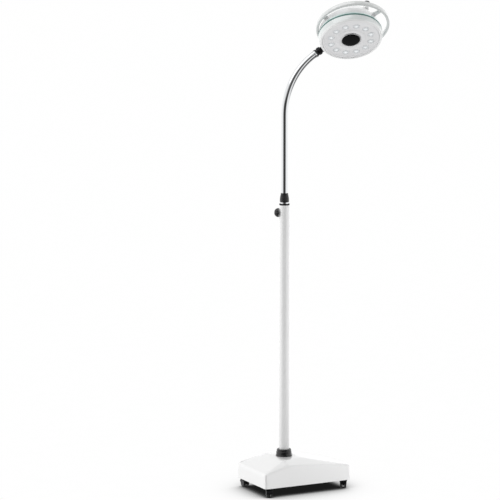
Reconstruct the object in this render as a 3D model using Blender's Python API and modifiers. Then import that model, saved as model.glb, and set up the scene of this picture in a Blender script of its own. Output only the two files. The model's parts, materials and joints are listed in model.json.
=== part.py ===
"""Surgical light: a mobile LED examination lamp on a wheeled base.

A weighted base on four twin-wheel casters carries a steel pole.  A tube telescopes in the pole and is
held by a clamp knob.  A bent chrome arm turns on that tube and ends in a knuckle, which carries the
round lamp head with its twelve lenses, its light ring, its handle ring and its dimmer.

Units are metres, Z is up, and the object stands on Z = 0.  Pieces of the column are placed from the
pole's axis, pieces of the knuckle and of the head from two empties that carry their directions.
"""

import math

import bmesh
import bpy
from mathutils import Matrix, Vector

MM = 0.001
GAP = 0.3 * MM                      # space between faces that touch on the real object

# The pole stands off the centre of the whole object's outline
POLE_X = -111.9 * MM
POLE_Y = 45.2 * MM

# Base
BASE_LEFT = -137.5 * MM             # ends of the base, from the pole's axis
BASE_RIGHT = 221 * MM
BASE_HALF_DEPTH = 115.5 * MM        # at the foot of the front and rear walls
COVER_BOTTOM = 35 * MM
COVER_WALL = 3 * MM
COVER_CORNER = 10 * MM
COVER_EDGE = 8 * MM                 # rounding of the eaves
WALL_LEAN = 0.08                    # the front and rear walls lean inwards by this much per height
END_LEAN = 0.03
FRONT_EAVE = ((-137.5, 88), (-40, 113), (44, 109), (140, 100), (221, 90))
REAR_EAVE = ((-137.5, 91), (-40, 113), (44, 107), (140, 92), (221, 77))
CROWN = ((-38, 72), (46, 62))       # corners of the level crown
CROWN_HEIGHT = 126 * MM
PLATE_BOTTOM = 40 * MM
PLATE_THICKNESS = 4 * MM
PLATE_INSET = 6 * MM
WEIGHT_HEIGHT = 27 * MM

# Casters
CASTER_INSET_LEFT = 26 * MM
CASTER_INSET_RIGHT = 21 * MM
CASTER_INSET_FRONT = 22 * MM
CASTER_INSET_REAR = 24 * MM
WHEEL_RADIUS = 15 * MM
WHEEL_WIDTH = 8 * MM
WHEEL_GAP = 8 * MM                  # space between the two wheels of a caster
WHEEL_STEPS = 18
AXLE_HEIGHT = WHEEL_RADIUS * math.cos(math.pi / WHEEL_STEPS)      # a flat of the tread is on the floor
FENDER_RADIUS = 17 * MM
CASTER_TRAIL = 8 * MM
CASTER_PLATE_RADIUS = 16 * MM
CASTER_AZIMUTHS = {"front_left": 70, "front_right": 242, "rear_left": 270, "rear_right": 75}

# Pole and telescoping tube
POLE_RADIUS = 19 * MM
POLE_WALL = 2 * MM
POLE_BOTTOM = 50 * MM
POLE_TOP = 1061.4 * MM
INNER_RADIUS = 15.5 * MM
INNER_WALL = 1.5 * MM
INNER_BOTTOM = 520 * MM
INNER_TOP = 1078 * MM
COLLAR_TOP = 152 * MM
CLAMP_HEIGHT = 1033.6 * MM
CLAMP_AZIMUTH = 152                 # degrees, seen from above, from +X

# Bent arm
ARM_RADIUS = 12.5 * MM
ARM_WALL = 1.5 * MM
ARM_BOTTOM = 1015 * MM
ARM_BEND_START = 1390 * MM
ARM_BEND_RADIUS = 255 * MM
ARM_BEND_ANGLE = 58                 # degrees
NUT_BOTTOM = 1072.3 * MM
NUT_TOP = 1106 * MM

# Knuckle between the arm and the head
PIVOT_REACH = 27 * MM               # from the end of the bend to the pivot
CHEEK_RADIUS = 13 * MM
CHEEK_THICKNESS = 5 * MM
TONGUE_THICKNESS = 9 * MM

# Head
LIGHT_DIRECTION = (-0.224, -0.625, -0.749)
HEAD_DIRECTION = (0.51, -0.73, 0.456)       # from the pivot to the middle of the head
HEAD_REACH = 140.8 * MM
RING_RADIUS = 117 * MM
HEAD_STEPS = 40
HOOP_RADIUS = 135 * MM
HOOP_SECTION = 11 * MM
SPOKE_ANGLES = (0, 75, 180, 285)     # degrees about the head's axis, from the arm's side
HOOP_OFFSET = 15 * MM               # the handle ring stands further out on the side away from the arm
LENS_COUNT = 12
LENS_CIRCLE = 75 * MM
LENS_START = 21                     # degrees, the first lens about the head's axis
LENS_RADIUS = 12 * MM
DIMMER_POINT = (-78 * MM, 0, 69.8 * MM)
DIMMER_DIRECTION = (-0.371, 0, 0.928)
DIMMER_HEIGHT = 33 * MM
BOSS_RADIUS = 12.5 * MM

COLOURS = {
    "white_enamel": ((0.86, 0.87, 0.87), 0.25, 0.0),
    "chrome_plate": ((0.80, 0.81, 0.82), 0.08, 1.0),
    "bright_steel": ((0.62, 0.63, 0.64), 0.30, 1.0),
    "black_oxide": ((0.030, 0.030, 0.032), 0.40, 1.0),
    "black_plastic": ((0.025, 0.025, 0.028), 0.40, 0.0),
    "black_gloss": ((0.010, 0.010, 0.012), 0.06, 0.0),
    "wheel_rubber": ((0.030, 0.030, 0.030), 0.70, 0.0),
    "face_silver": ((0.72, 0.73, 0.75), 0.35, 0.3),
    "lens_clear": ((0.93, 0.95, 0.97), 0.08, 0.0),
    "teal_acrylic": ((0.05, 0.42, 0.36), 0.15, 0.0),
    "cast_grey": ((0.18, 0.18, 0.19), 0.65, 0.6),
    "board_green": ((0.03, 0.20, 0.09), 0.45, 0.0),
    "aluminium_fins": ((0.66, 0.67, 0.69), 0.40, 1.0),
}


# ---------------------------------------------------------------- scene and helpers

def clear_scene():
    for item in list(bpy.data.objects):
        bpy.data.objects.remove(item)
    for block in list(bpy.data.collections):
        bpy.data.collections.remove(block)


def new_collection(name):
    collection = bpy.data.collections.new(name)
    bpy.context.scene.collection.children.link(collection)
    return collection


def material(name):
    found = bpy.data.materials.get(name)
    if found:
        return found
    colour, roughness, metallic = COLOURS[name]
    made = bpy.data.materials.new(name)
    made.use_nodes = True
    shader = made.node_tree.nodes["Principled BSDF"]
    shader.inputs["Base Color"].default_value = (*colour, 1.0)
    shader.inputs["Roughness"].default_value = roughness
    shader.inputs["Metallic"].default_value = metallic
    made.diffuse_color = (*colour, 1.0)
    return made


def own_material(piece, finish):
    """Give the piece a material of its own, with the finish's values."""
    copy = material(finish).copy()
    copy.name = piece.name + "_" + finish
    piece.data.materials.clear()
    piece.data.materials.append(copy)


def mesh_object(name, mesh, collection=None):
    piece = bpy.data.objects.new(name, mesh)
    (collection or PARTS).objects.link(piece)
    return piece


def bm_object(name, bm, collection=None):
    mesh = bpy.data.meshes.new(name)
    bm.to_mesh(mesh)
    bm.free()
    return mesh_object(name, mesh, collection)


def bake(piece):
    """Apply the piece's modifiers to its mesh, and shade it smooth between its sharp edges."""
    graph = bpy.context.evaluated_depsgraph_get()
    mesh = bpy.data.meshes.new_from_object(piece.evaluated_get(graph))
    piece.modifiers.clear()
    piece.data = mesh
    mesh.shade_smooth()
    mesh.set_sharp_from_angle(angle=math.radians(35))


def solid_of_curve(piece):
    """Turn a curve object into a closed mesh object of the same name and place."""
    graph = bpy.context.evaluated_depsgraph_get()
    mesh = bpy.data.meshes.new_from_object(piece.evaluated_get(graph))
    bm = bmesh.new()
    bm.from_mesh(mesh)
    bmesh.ops.remove_doubles(bm, verts=bm.verts, dist=0.01 * MM)
    bm.to_mesh(mesh)
    bm.free()
    name = piece.name
    place = piece.matrix_world.copy()
    collection = piece.users_collection[0]
    bpy.data.objects.remove(piece)
    solid = mesh_object(name, mesh, collection)
    solid.matrix_world = place
    mesh.shade_smooth()
    mesh.set_sharp_from_angle(angle=math.radians(35))
    return solid


def place(piece, parent, location=(0, 0, 0), direction=None):
    """Hang the piece on its parent, with its own Z along the direction."""
    piece.parent = parent
    piece.location = location
    if direction is not None:
        piece.rotation_euler = Vector(direction).to_track_quat("Z", "Y").to_euler()
    bpy.context.view_layer.update()
    return piece


def turned(name, profile, steps=48, collection=None):
    """Turn (radius, height) points about Z; they run down the outer side and back up the inner."""
    bm = bmesh.new()
    points = [bm.verts.new((radius, 0, height)) for radius, height in profile]
    for first, second in zip(points, points[1:]):
        bm.edges.new((first, second))
    if profile[0][0] > 0:
        bm.edges.new((points[-1], points[0]))
    piece = bm_object(name, bm, collection)
    screw = piece.modifiers.new("Turn", "SCREW")
    screw.steps = steps
    screw.render_steps = steps
    screw.use_merge_vertices = True
    screw.merge_threshold = 0.01 * MM
    bake(piece)
    return piece


def rod(name, radius, bottom, top, steps=24, collection=None):
    return turned(name, [(0, top), (radius, top), (radius, bottom), (0, bottom)], steps, collection)


def tube(name, outer, inner, bottom, top, steps=32):
    return turned(name, [(outer, top), (outer, bottom), (inner, bottom), (inner, top)], steps)


def box(name, low, high, rounding=0.0, collection=None):
    """A box between two corners, with its vertical and top edges rounded."""
    low = Vector(low)
    high = Vector(high)
    bm = bmesh.new()
    bmesh.ops.create_cube(bm, size=1.0)
    size = high - low
    bmesh.ops.scale(bm, vec=size, verts=bm.verts)
    bmesh.ops.translate(bm, vec=(low + high) / 2, verts=bm.verts)
    piece = bm_object(name, bm, collection)
    if rounding > 0:
        bevel = piece.modifiers.new("Round", "BEVEL")
        bevel.width = rounding
        bevel.segments = 2
    bake(piece)
    return piece


def combine(piece, other, operation):
    """Cut the other solid from the piece, or join it on; the other is then removed."""
    tool = piece.modifiers.new(operation.title(), "BOOLEAN")
    tool.operation = operation
    tool.object = other
    tool.solver = "EXACT"
    bpy.context.view_layer.update()
    bake(piece)
    bpy.data.objects.remove(other)


def cut(piece, other):
    combine(piece, other, "DIFFERENCE")


def join(piece, other):
    combine(piece, other, "UNION")


def bolt_circle(count, radius, start=0.0):
    """Points on a circle about Z, evenly spaced."""
    for index in range(count):
        angle = math.radians(start) + 2 * math.pi * index / count
        yield Vector((radius * math.cos(angle), radius * math.sin(angle), 0))


def frame_empty(name, parent, origin, axis_x, axis_z):
    """An empty whose X and Z lie along two directions that stand square to each other."""
    empty = bpy.data.objects.new(name, None)
    PARTS.objects.link(empty)
    x = Vector(axis_x).normalized()
    z = Vector(axis_z).normalized()
    y = z.cross(x)
    turn = Matrix((x, y, z)).transposed().to_4x4()
    empty.parent = parent
    empty.matrix_local = Matrix.Translation(origin) @ turn
    bpy.context.view_layer.update()
    return empty


# ---------------------------------------------------------------- base

def eave_points(x, y, inward_x, inward_y, height):
    """Points down the rounding of the eave, from its crest to where it meets the wall."""
    points = []
    for rise in (0, 30, 60, 90):
        reach = COVER_EDGE * (1 - math.cos(math.radians(rise)))
        lift = COVER_EDGE * (math.sin(math.radians(rise)) - 0.75)
        points.append((x + inward_x * reach, y + inward_y * reach, height + lift))
    return points


def corner_points(side_x, side_y, x, height):
    """Points on the rounding of one end corner: the arc at its foot, and its rounded eave."""
    points = []
    lift = height - COVER_BOTTOM
    centre_x = x - side_x * COVER_CORNER
    centre_y = side_y * (BASE_HALF_DEPTH - COVER_CORNER)
    top_x = centre_x - side_x * END_LEAN * lift
    top_y = centre_y - side_y * WALL_LEAN * lift
    for step in range(5):
        angle = math.radians(22.5 * step)
        out_x = side_x * math.cos(angle)
        out_y = side_y * math.sin(angle)
        points.append((centre_x + out_x * COVER_CORNER, centre_y + out_y * COVER_CORNER, COVER_BOTTOM))
        edge_x = top_x + out_x * COVER_CORNER
        edge_y = top_y + out_y * COVER_CORNER
        points += eave_points(edge_x, edge_y, -out_x, -out_y, height)
    return points


def roof_points():
    """Points whose convex hull is the cover: rounded corners, rounded eaves and the crown."""
    points = []
    for side, eave in ((-1, FRONT_EAVE), (1, REAR_EAVE)):
        points += corner_points(-1, side, BASE_LEFT, eave[0][1] * MM)
        points += corner_points(1, side, BASE_RIGHT, eave[-1][1] * MM)
        for x, height in eave[1:-1]:
            y = side * (BASE_HALF_DEPTH - WALL_LEAN * (height * MM - COVER_BOTTOM))
            points += eave_points(x * MM, y, 0, -side, height * MM)
        for x, y in CROWN:
            points.append((x * MM, side * y * MM, CROWN_HEIGHT))
    return points


def base_cover():
    bm = bmesh.new()
    for point in roof_points():
        bm.verts.new(point)
    hull = bmesh.ops.convex_hull(bm, input=bm.verts)
    spare = [item for item in hull["geom_interior"] if isinstance(item, bmesh.types.BMVert)]
    bmesh.ops.delete(bm, geom=spare, context="VERTS")
    bmesh.ops.recalc_face_normals(bm, faces=bm.faces)
    bmesh.ops.dissolve_limit(bm, angle_limit=math.radians(0.5), verts=bm.verts, edges=bm.edges)
    floor = [face for face in bm.faces if face.normal.z < -0.99]
    bmesh.ops.delete(bm, geom=floor, context="FACES")
    cover = bm_object("base_cover", bm)
    shell = cover.modifiers.new("Shell", "SOLIDIFY")
    shell.thickness = COVER_WALL
    shell.offset = -1
    shell.use_even_offset = True
    bake(cover)
    cut(cover, rod("pole_hole", POLE_RADIUS + 2 * MM, 100 * MM, 150 * MM, 32, CUTTERS))
    place(cover, STAND)
    inlet_hole = box("inlet_hole", (140 * MM, -14 * MM, -11 * MM), (168 * MM, 8 * MM, 11 * MM), 0, CUTTERS)
    switch_hole = box("switch_hole", (104 * MM, -14 * MM, -8 * MM), (124 * MM, 8 * MM, 8 * MM), 0, CUTTERS)
    for hole in (inlet_hole, switch_hole):
        place(hole, REAR_WALL)
        cut(cover, hole)
    own_material(cover, "white_enamel")


def base_plate():
    low = (BASE_LEFT + PLATE_INSET, PLATE_INSET - BASE_HALF_DEPTH, PLATE_BOTTOM)
    high = (BASE_RIGHT - PLATE_INSET, BASE_HALF_DEPTH - PLATE_INSET, PLATE_BOTTOM + PLATE_THICKNESS)
    plate = box("base_plate", low, high)
    upright = plate.modifiers.new("Corners", "BEVEL")
    upright.width = COVER_CORNER - 2 * MM
    upright.segments = 3
    upright.limit_method = "WEIGHT"
    weights = plate.data.attributes.new("bevel_weight_edge", "FLOAT", "EDGE")
    for edge in plate.data.edges:
        ends = [plate.data.vertices[index].co for index in edge.vertices]
        weights.data[edge.index].value = 1.0 if abs(ends[0].z - ends[1].z) > 1 * MM else 0.0
    bake(plate)
    for x, y in caster_places().values():
        hole = rod("stem_hole", 5.5 * MM, 30 * MM, 60 * MM, 16, CUTTERS)
        hole.location = (x, y, 0)
        cut(plate, hole)
    place(plate, STAND)
    own_material(plate, "cast_grey")


def counterweight():
    """A cast block around the pole's foot; its mass keeps the reaching head from tipping the stand."""
    bottom = PLATE_BOTTOM + PLATE_THICKNESS + GAP
    low = (-66 * MM, -80 * MM, bottom)
    high = (154 * MM, 80 * MM, bottom + WEIGHT_HEIGHT)
    block = box("counterweight", low, high, 3 * MM)
    cut(block, rod("socket_hole", 43 * MM, 30 * MM, 90 * MM, 32, CUTTERS))
    place(block, STAND)
    own_material(block, "cast_grey")


def pole_socket():
    flange_bottom = PLATE_BOTTOM + PLATE_THICKNESS + GAP
    spigot = POLE_RADIUS - POLE_WALL - GAP
    profile = [
        (spigot, 125 * MM),
        (spigot, POLE_BOTTOM - GAP),
        (41 * MM, POLE_BOTTOM - GAP),
        (41 * MM, flange_bottom),
        (11 * MM, flange_bottom),
        (11 * MM, 125 * MM),
    ]
    socket = turned("pole_socket", profile, 32)
    place(socket, STAND)
    own_material(socket, "bright_steel")


def pole_collar():
    """Black collar that covers the hole where the pole enters the base."""
    bottom = CROWN_HEIGHT + GAP
    bore = POLE_RADIUS + GAP
    profile = [
        (25.5 * MM, COLLAR_TOP),
        (26.5 * MM, COLLAR_TOP - 2 * MM),
        (28 * MM, COLLAR_TOP - 10 * MM),
        (30 * MM, bottom + 3 * MM),
        (30.5 * MM, bottom),
        (bore, bottom),
        (bore, COLLAR_TOP),
    ]
    collar = turned("pole_collar", profile, 32)
    place(collar, STAND)
    own_material(collar, "black_plastic")


def power_supply():
    bottom = PLATE_BOTTOM + PLATE_THICKNESS + WEIGHT_HEIGHT + 2 * GAP
    supply = box("power_supply", (62 * MM, -32 * MM, bottom), (146 * MM, 32 * MM, bottom + 23 * MM), 1.5 * MM)
    place(supply, STAND)
    own_material(supply, "aluminium_fins")


def rear_wall_frame():
    """An empty on the rear wall's outer face, 60 mm above the floor: X along the wall, Y outwards."""
    height = 60 * MM
    y = BASE_HALF_DEPTH - WALL_LEAN * (height - COVER_BOTTOM)
    return frame_empty("rear_wall_frame", STAND, (0, y, height), (1, 0, 0), (0, -WALL_LEAN, 1))


def power_inlet():
    """Mains inlet in the rear wall: a flanged housing with a pocket and three pins."""
    inlet = box("power_inlet", (137 * MM, GAP, -13.5 * MM), (171 * MM, 2.8 * MM, 13.5 * MM), 0.8 * MM)
    join(inlet, box("rear", (140.5 * MM, -20 * MM, -10 * MM), (167.5 * MM, 1 * MM, 10 * MM), 0, CUTTERS))
    cut(inlet, box("pocket", (143 * MM, -16 * MM, -7.5 * MM), (165 * MM, 20 * MM, 7.5 * MM), 0, CUTTERS))
    for x, z in ((147.5 * MM, -2 * MM), (154 * MM, 2.5 * MM), (160.5 * MM, -2 * MM)):
        low = (x - 1 * MM, -17 * MM, z - 2 * MM)
        high = (x + 1 * MM, -2 * MM, z + 2 * MM)
        join(inlet, box("pin", low, high, 0, CUTTERS))
    place(inlet, REAR_WALL)
    own_material(inlet, "black_plastic")


def power_switch():
    """A rocker switch: a framed housing, and the rocker that tips in it about a level pin."""
    housing = box("switch_housing", (102 * MM, GAP, -9.5 * MM), (126 * MM, 2.3 * MM, 9.5 * MM), 0.6 * MM)
    join(housing, box("rear", (104.5 * MM, -16 * MM, -7 * MM), (123.5 * MM, 1 * MM, 7 * MM), 0, CUTTERS))
    cut(housing, box("well", (106 * MM, -12 * MM, -5.5 * MM), (122 * MM, 20 * MM, 5.5 * MM), 0, CUTTERS))
    place(housing, REAR_WALL)
    own_material(housing, "black_plastic")

    pivot = bpy.data.objects.new("switch_pivot", None)
    PARTS.objects.link(pivot)
    place(pivot, REAR_WALL, (114 * MM, -5.5 * MM, 0))
    rocker = box("switch_rocker", (-7.4 * MM, 0, -4.6 * MM), (7.4 * MM, 8.3 * MM, 4.6 * MM))
    dish = rod("dish", 26 * MM, -12 * MM, 12 * MM, 48, CUTTERS)
    dish.rotation_euler = (0, math.radians(90), 0)
    dish.location = (0, 33.2 * MM, 0)
    cut(rocker, dish)
    place(rocker, pivot)
    own_material(rocker, "black_gloss")


# ---------------------------------------------------------------- casters

def caster_places():
    x_left = BASE_LEFT + CASTER_INSET_LEFT
    x_right = BASE_RIGHT - CASTER_INSET_RIGHT
    y_front = CASTER_INSET_FRONT - BASE_HALF_DEPTH
    y_rear = BASE_HALF_DEPTH - CASTER_INSET_REAR
    return {
        "front_left": (x_left, y_front),
        "front_right": (x_right, y_front),
        "rear_left": (x_left, y_rear),
        "rear_right": (x_right, y_rear),
    }


def wheel_mesh(name, outward):
    """A wheel turned about Z: tread, side disc and hub; its outer side faces along outward."""
    half = WHEEL_WIDTH / 2
    profile = [
        (2.3 * MM, half),
        (6 * MM, half),
        (WHEEL_RADIUS - 1.5 * MM, half - 0.8 * MM),
        (WHEEL_RADIUS, half - 2 * MM),
        (WHEEL_RADIUS, 0.8 * MM - half),
        (WHEEL_RADIUS - 0.8 * MM, -half),
        (2.3 * MM, -half),
    ]
    wheel = turned(name, profile, WHEEL_STEPS)
    if outward < 0:
        wheel.data.transform(Matrix.Rotation(math.pi, 4, "X"))
    return wheel


def fender():
    """Half shell over the two wheels of a caster."""
    reach = WHEEL_GAP / 2 + WHEEL_WIDTH + 0.4 * MM
    clear = WHEEL_RADIUS + 0.7 * MM
    profile = [(FENDER_RADIUS, reach), (FENDER_RADIUS, -reach), (clear, -reach), (clear, reach)]
    shell = turned("fender", profile, 20, CUTTERS)
    shell.rotation_euler = (math.radians(90), 0, 0)
    shell.location = (-CASTER_TRAIL, 0, AXLE_HEIGHT)
    low = (-60 * MM, -30 * MM, -30 * MM)
    cut(shell, box("below", low, (60 * MM, 30 * MM, AXLE_HEIGHT + 1.2 * MM), 0, CUTTERS))
    return shell


def caster(corner, x, y):
    """Hood with its stem, an axle and two wheels; the wheels trail behind the stem."""
    swivel = bpy.data.objects.new("caster_" + corner + "_swivel", None)
    PARTS.objects.link(swivel)
    place(swivel, STAND, (x, y, 0))
    swivel.rotation_euler = (0, 0, math.radians(CASTER_AZIMUTHS[corner]))

    top = PLATE_BOTTOM - GAP
    hood = box(
        "caster_" + corner + "_hood",
        (-CASTER_TRAIL - 5 * MM, -3.4 * MM, AXLE_HEIGHT - 5 * MM),
        (6 * MM, 3.4 * MM, top - 2 * MM),
    )
    join(hood, fender())
    stem_top = PLATE_BOTTOM + PLATE_THICKNESS - GAP
    plate_bottom = AXLE_HEIGHT + FENDER_RADIUS - 0.5 * MM
    stem_profile = [
        (0, stem_top),
        (5 * MM, stem_top),
        (5 * MM, top),
        (CASTER_PLATE_RADIUS, top),
        (CASTER_PLATE_RADIUS, plate_bottom),
        (0, plate_bottom),
    ]
    join(hood, turned("stem", stem_profile, 20, CUTTERS))
    bore = rod("bore", 2.4 * MM, -10 * MM, 10 * MM, 12, CUTTERS)
    bore.rotation_euler = (math.radians(90), 0, 0)
    bore.location = (-CASTER_TRAIL, 0, AXLE_HEIGHT)
    cut(hood, bore)
    place(hood, swivel)
    own_material(hood, "black_plastic")

    hub = bpy.data.objects.new("caster_" + corner + "_hub", None)
    PARTS.objects.link(hub)
    place(hub, swivel, (-CASTER_TRAIL, 0, AXLE_HEIGHT))
    hub.rotation_euler = (math.radians(90), 0, 0)
    reach = WHEEL_GAP / 2 + WHEEL_WIDTH
    axle = rod("caster_" + corner + "_axle", 2 * MM, 0.5 * MM - reach, reach - 0.5 * MM, 12)
    place(axle, hub)
    own_material(axle, "bright_steel")
    for side, word in ((1, "near"), (-1, "far")):
        wheel = wheel_mesh("caster_" + corner + "_wheel_" + word, side)
        place(wheel, hub, (0, 0, side * (WHEEL_GAP + WHEEL_WIDTH) / 2))
        own_material(wheel, "wheel_rubber")


# ---------------------------------------------------------------- column

def pole_tube():
    pole = tube("pole_tube", POLE_RADIUS, POLE_RADIUS - POLE_WALL, POLE_BOTTOM, POLE_TOP, 40)
    hole = rod("clamp_hole", 6.4 * MM, 0, 40 * MM, 20, CUTTERS)
    place(hole, None, (0, 0, CLAMP_HEIGHT), clamp_direction())
    cut(pole, hole)
    place(pole, STAND)
    own_material(pole, "white_enamel")


def pole_cap():
    """Black ring on the pole's top, with a sleeve that guides the telescoping tube."""
    bore = INNER_RADIUS + GAP
    sleeve = POLE_RADIUS - POLE_WALL - GAP
    profile = [
        (POLE_RADIUS - 1.2 * MM, POLE_TOP + 6 * MM),
        (POLE_RADIUS, POLE_TOP + 4 * MM),
        (POLE_RADIUS, POLE_TOP + GAP),
        (sleeve, POLE_TOP + GAP),
        (sleeve, POLE_TOP - 15 * MM),
        (bore, POLE_TOP - 15 * MM),
        (bore, POLE_TOP + 6 * MM),
    ]
    cap = turned("pole_cap", profile, 32)
    place(cap, STAND)
    own_material(cap, "black_plastic")


def clamp_direction():
    angle = math.radians(CLAMP_AZIMUTH)
    return Vector((math.cos(angle), math.sin(angle), 0))


def clamp():
    """Threaded boss in the pole's wall, and the knob and screw that press on the inner tube."""
    axis = clamp_direction()
    profile = [
        (8 * MM, POLE_RADIUS + 2 * MM),
        (8 * MM, POLE_RADIUS + GAP),
        (6 * MM, POLE_RADIUS + GAP),
        (6 * MM, INNER_RADIUS + 0.8 * MM),
        (4.3 * MM, INNER_RADIUS + 0.8 * MM),
        (4.3 * MM, POLE_RADIUS + 2 * MM),
    ]
    boss = turned("clamp_boss", profile, 24)
    place(boss, STAND, (0, 0, CLAMP_HEIGHT), axis)
    own_material(boss, "bright_steel")

    pivot = bpy.data.objects.new("clamp_axis", None)
    PARTS.objects.link(pivot)
    place(pivot, STAND, (0, 0, CLAMP_HEIGHT), axis)
    screw = rod("clamp_screw", 4 * MM, INNER_RADIUS + GAP, POLE_RADIUS + 12 * MM, 20)
    place(screw, pivot)
    own_material(screw, "bright_steel")

    back = POLE_RADIUS + 0.6 * MM
    recess = POLE_RADIUS + 2 * MM + GAP
    knob_profile = [
        (0, POLE_RADIUS + 18.5 * MM),
        (6 * MM, POLE_RADIUS + 17.8 * MM),
        (11 * MM, POLE_RADIUS + 15.2 * MM),
        (15 * MM, POLE_RADIUS + 10.5 * MM),
        (17 * MM, POLE_RADIUS + 5.5 * MM),
        (17 * MM, back + 1 * MM),
        (16 * MM, back),
        (8.6 * MM, back),
        (8.6 * MM, recess),
        (4.3 * MM, recess),
        (4.3 * MM, POLE_RADIUS + 12 * MM + GAP),
        (0, POLE_RADIUS + 12 * MM + GAP),
    ]
    knob = turned("clamp_knob", knob_profile, 24)
    flat = rod("pole_clearance", POLE_RADIUS + 0.6 * MM, -40 * MM, 40 * MM, 40, CUTTERS)
    flat.rotation_euler = (math.radians(90), 0, 0)
    cut(knob, flat)
    place(knob, pivot)
    own_material(knob, "black_plastic")


def inner_tube():
    inner = tube("inner_tube", INNER_RADIUS, INNER_RADIUS - INNER_WALL, INNER_BOTTOM, INNER_TOP, 32)
    place(inner, STAND)
    own_material(inner, "chrome_plate")

    outside = POLE_RADIUS - POLE_WALL - GAP
    profile = [
        (outside, INNER_BOTTOM - GAP),
        (outside, INNER_BOTTOM - 20 * MM),
        (9 * MM, INNER_BOTTOM - 20 * MM),
        (9 * MM, INNER_BOTTOM - GAP),
    ]
    guide = turned("guide_bush", profile, 32)
    place(guide, STAND)
    own_material(guide, "black_plastic")


def swivel_nut():
    """Tapered nut on the inner tube's top, and the bush in which the arm turns."""
    step = INNER_TOP + GAP
    profile = [
        (13.4 * MM, NUT_TOP),
        (13.6 * MM, NUT_TOP - 3 * MM),
        (15.2 * MM, NUT_TOP - 12 * MM),
        (16.7 * MM, NUT_TOP - 20 * MM),
        (16.9 * MM, NUT_BOTTOM + 3 * MM),
        (16.2 * MM, NUT_BOTTOM),
        (INNER_RADIUS + GAP, NUT_BOTTOM),
        (INNER_RADIUS + GAP, step),
        (ARM_RADIUS + 0.25 * MM, step),
        (ARM_RADIUS + 0.25 * MM, NUT_TOP),
    ]
    nut = turned("arm_nut_lower", profile, 24)
    place(nut, STAND)
    own_material(nut, "black_plastic")

    bush = tube(
        "arm_bush_lower",
        INNER_RADIUS - INNER_WALL - GAP,
        ARM_RADIUS + GAP,
        ARM_BOTTOM + 5 * MM,
        INNER_TOP - 1 * MM,
        32,
    )
    place(bush, STAND)
    own_material(bush, "black_plastic")


# ---------------------------------------------------------------- bent arm

def arm_points(bottom):
    """The arm's centre line: straight up, a circular bend towards +X, and a short straight end."""
    points = [Vector((0, 0, bottom)), Vector((0, 0, ARM_BEND_START))]
    turn = math.radians(ARM_BEND_ANGLE)
    steps = 11
    for step in range(1, steps + 1):
        angle = turn * step / steps
        x = ARM_BEND_RADIUS * (1 - math.cos(angle))
        z = ARM_BEND_START + ARM_BEND_RADIUS * math.sin(angle)
        points.append(Vector((x, 0, z)))
    points.append(points[-1] + arm_direction() * 8 * MM)
    return points


def arm_direction():
    angle = math.radians(ARM_BEND_ANGLE)
    return Vector((math.sin(angle), 0, math.cos(angle)))


def arm_end():
    angle = math.radians(ARM_BEND_ANGLE)
    x = ARM_BEND_RADIUS * (1 - math.cos(angle))
    return Vector((x, 0, ARM_BEND_START + ARM_BEND_RADIUS * math.sin(angle)))


def pipe(name, points, radius, resolution, capped, collection=None):
    """A round tube or rod along a chain of points."""
    curve = bpy.data.curves.new(name, "CURVE")
    curve.dimensions = "3D"
    curve.bevel_depth = radius
    curve.bevel_resolution = resolution
    curve.use_fill_caps = capped
    spline = curve.splines.new("POLY")
    spline.points.add(len(points) - 1)
    for control, point in zip(spline.points, points):
        control.co = (*point, 1.0)
    piece = bpy.data.objects.new(name, curve)
    (collection or PARTS).objects.link(piece)
    bpy.context.view_layer.update()
    return solid_of_curve(piece)


def arm_tube():
    arm = pipe("arm_tube", arm_points(ARM_BOTTOM), ARM_RADIUS, 6, False)
    wall = arm.modifiers.new("Wall", "SOLIDIFY")
    wall.thickness = ARM_WALL
    wall.offset = -1
    bake(arm)
    place(arm, STAND)
    own_material(arm, "chrome_plate")


def arm_lead():
    """The lead that feeds the head, where the arm holds it."""
    lead = pipe("arm_lead", arm_points(ARM_BOTTOM + 5 * MM)[:-2], 3 * MM, 1, True)
    place(lead, STAND)
    own_material(lead, "wheel_rubber")


# ---------------------------------------------------------------- knuckle

def knuckle_frame():
    pivot = arm_end() + arm_direction() * PIVOT_REACH
    across = arm_direction().cross(head_direction())
    return frame_empty("knuckle_frame", STAND, pivot, across, arm_direction())


def head_direction():
    """From the pivot to the head, square to the light's direction."""
    light = Vector(LIGHT_DIRECTION).normalized()
    towards = Vector(HEAD_DIRECTION)
    return (towards - light * towards.dot(light)).normalized()


def arm_nut_upper():
    bottom = -PIVOT_REACH
    bore = ARM_RADIUS + GAP
    profile = [
        (14.2 * MM, bottom + 12 * MM),
        (14.8 * MM, bottom + 11 * MM),
        (14.8 * MM, bottom + 7 * MM),
        (13.6 * MM, bottom),
        (bore, bottom),
        (bore, bottom + 8.4 * MM),
        (9.5 * MM, bottom + 8.4 * MM),
        (9.5 * MM, bottom + 12 * MM),
    ]
    nut = turned("arm_nut_upper", profile, 24)
    place(nut, KNUCKLE)
    own_material(nut, "black_plastic")

    bush = tube("arm_bush_upper", 10.2 * MM, 6.8 * MM, bottom - 14 * MM, bottom + 6 * MM, 28)
    place(bush, KNUCKLE)
    own_material(bush, "black_plastic")


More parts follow.
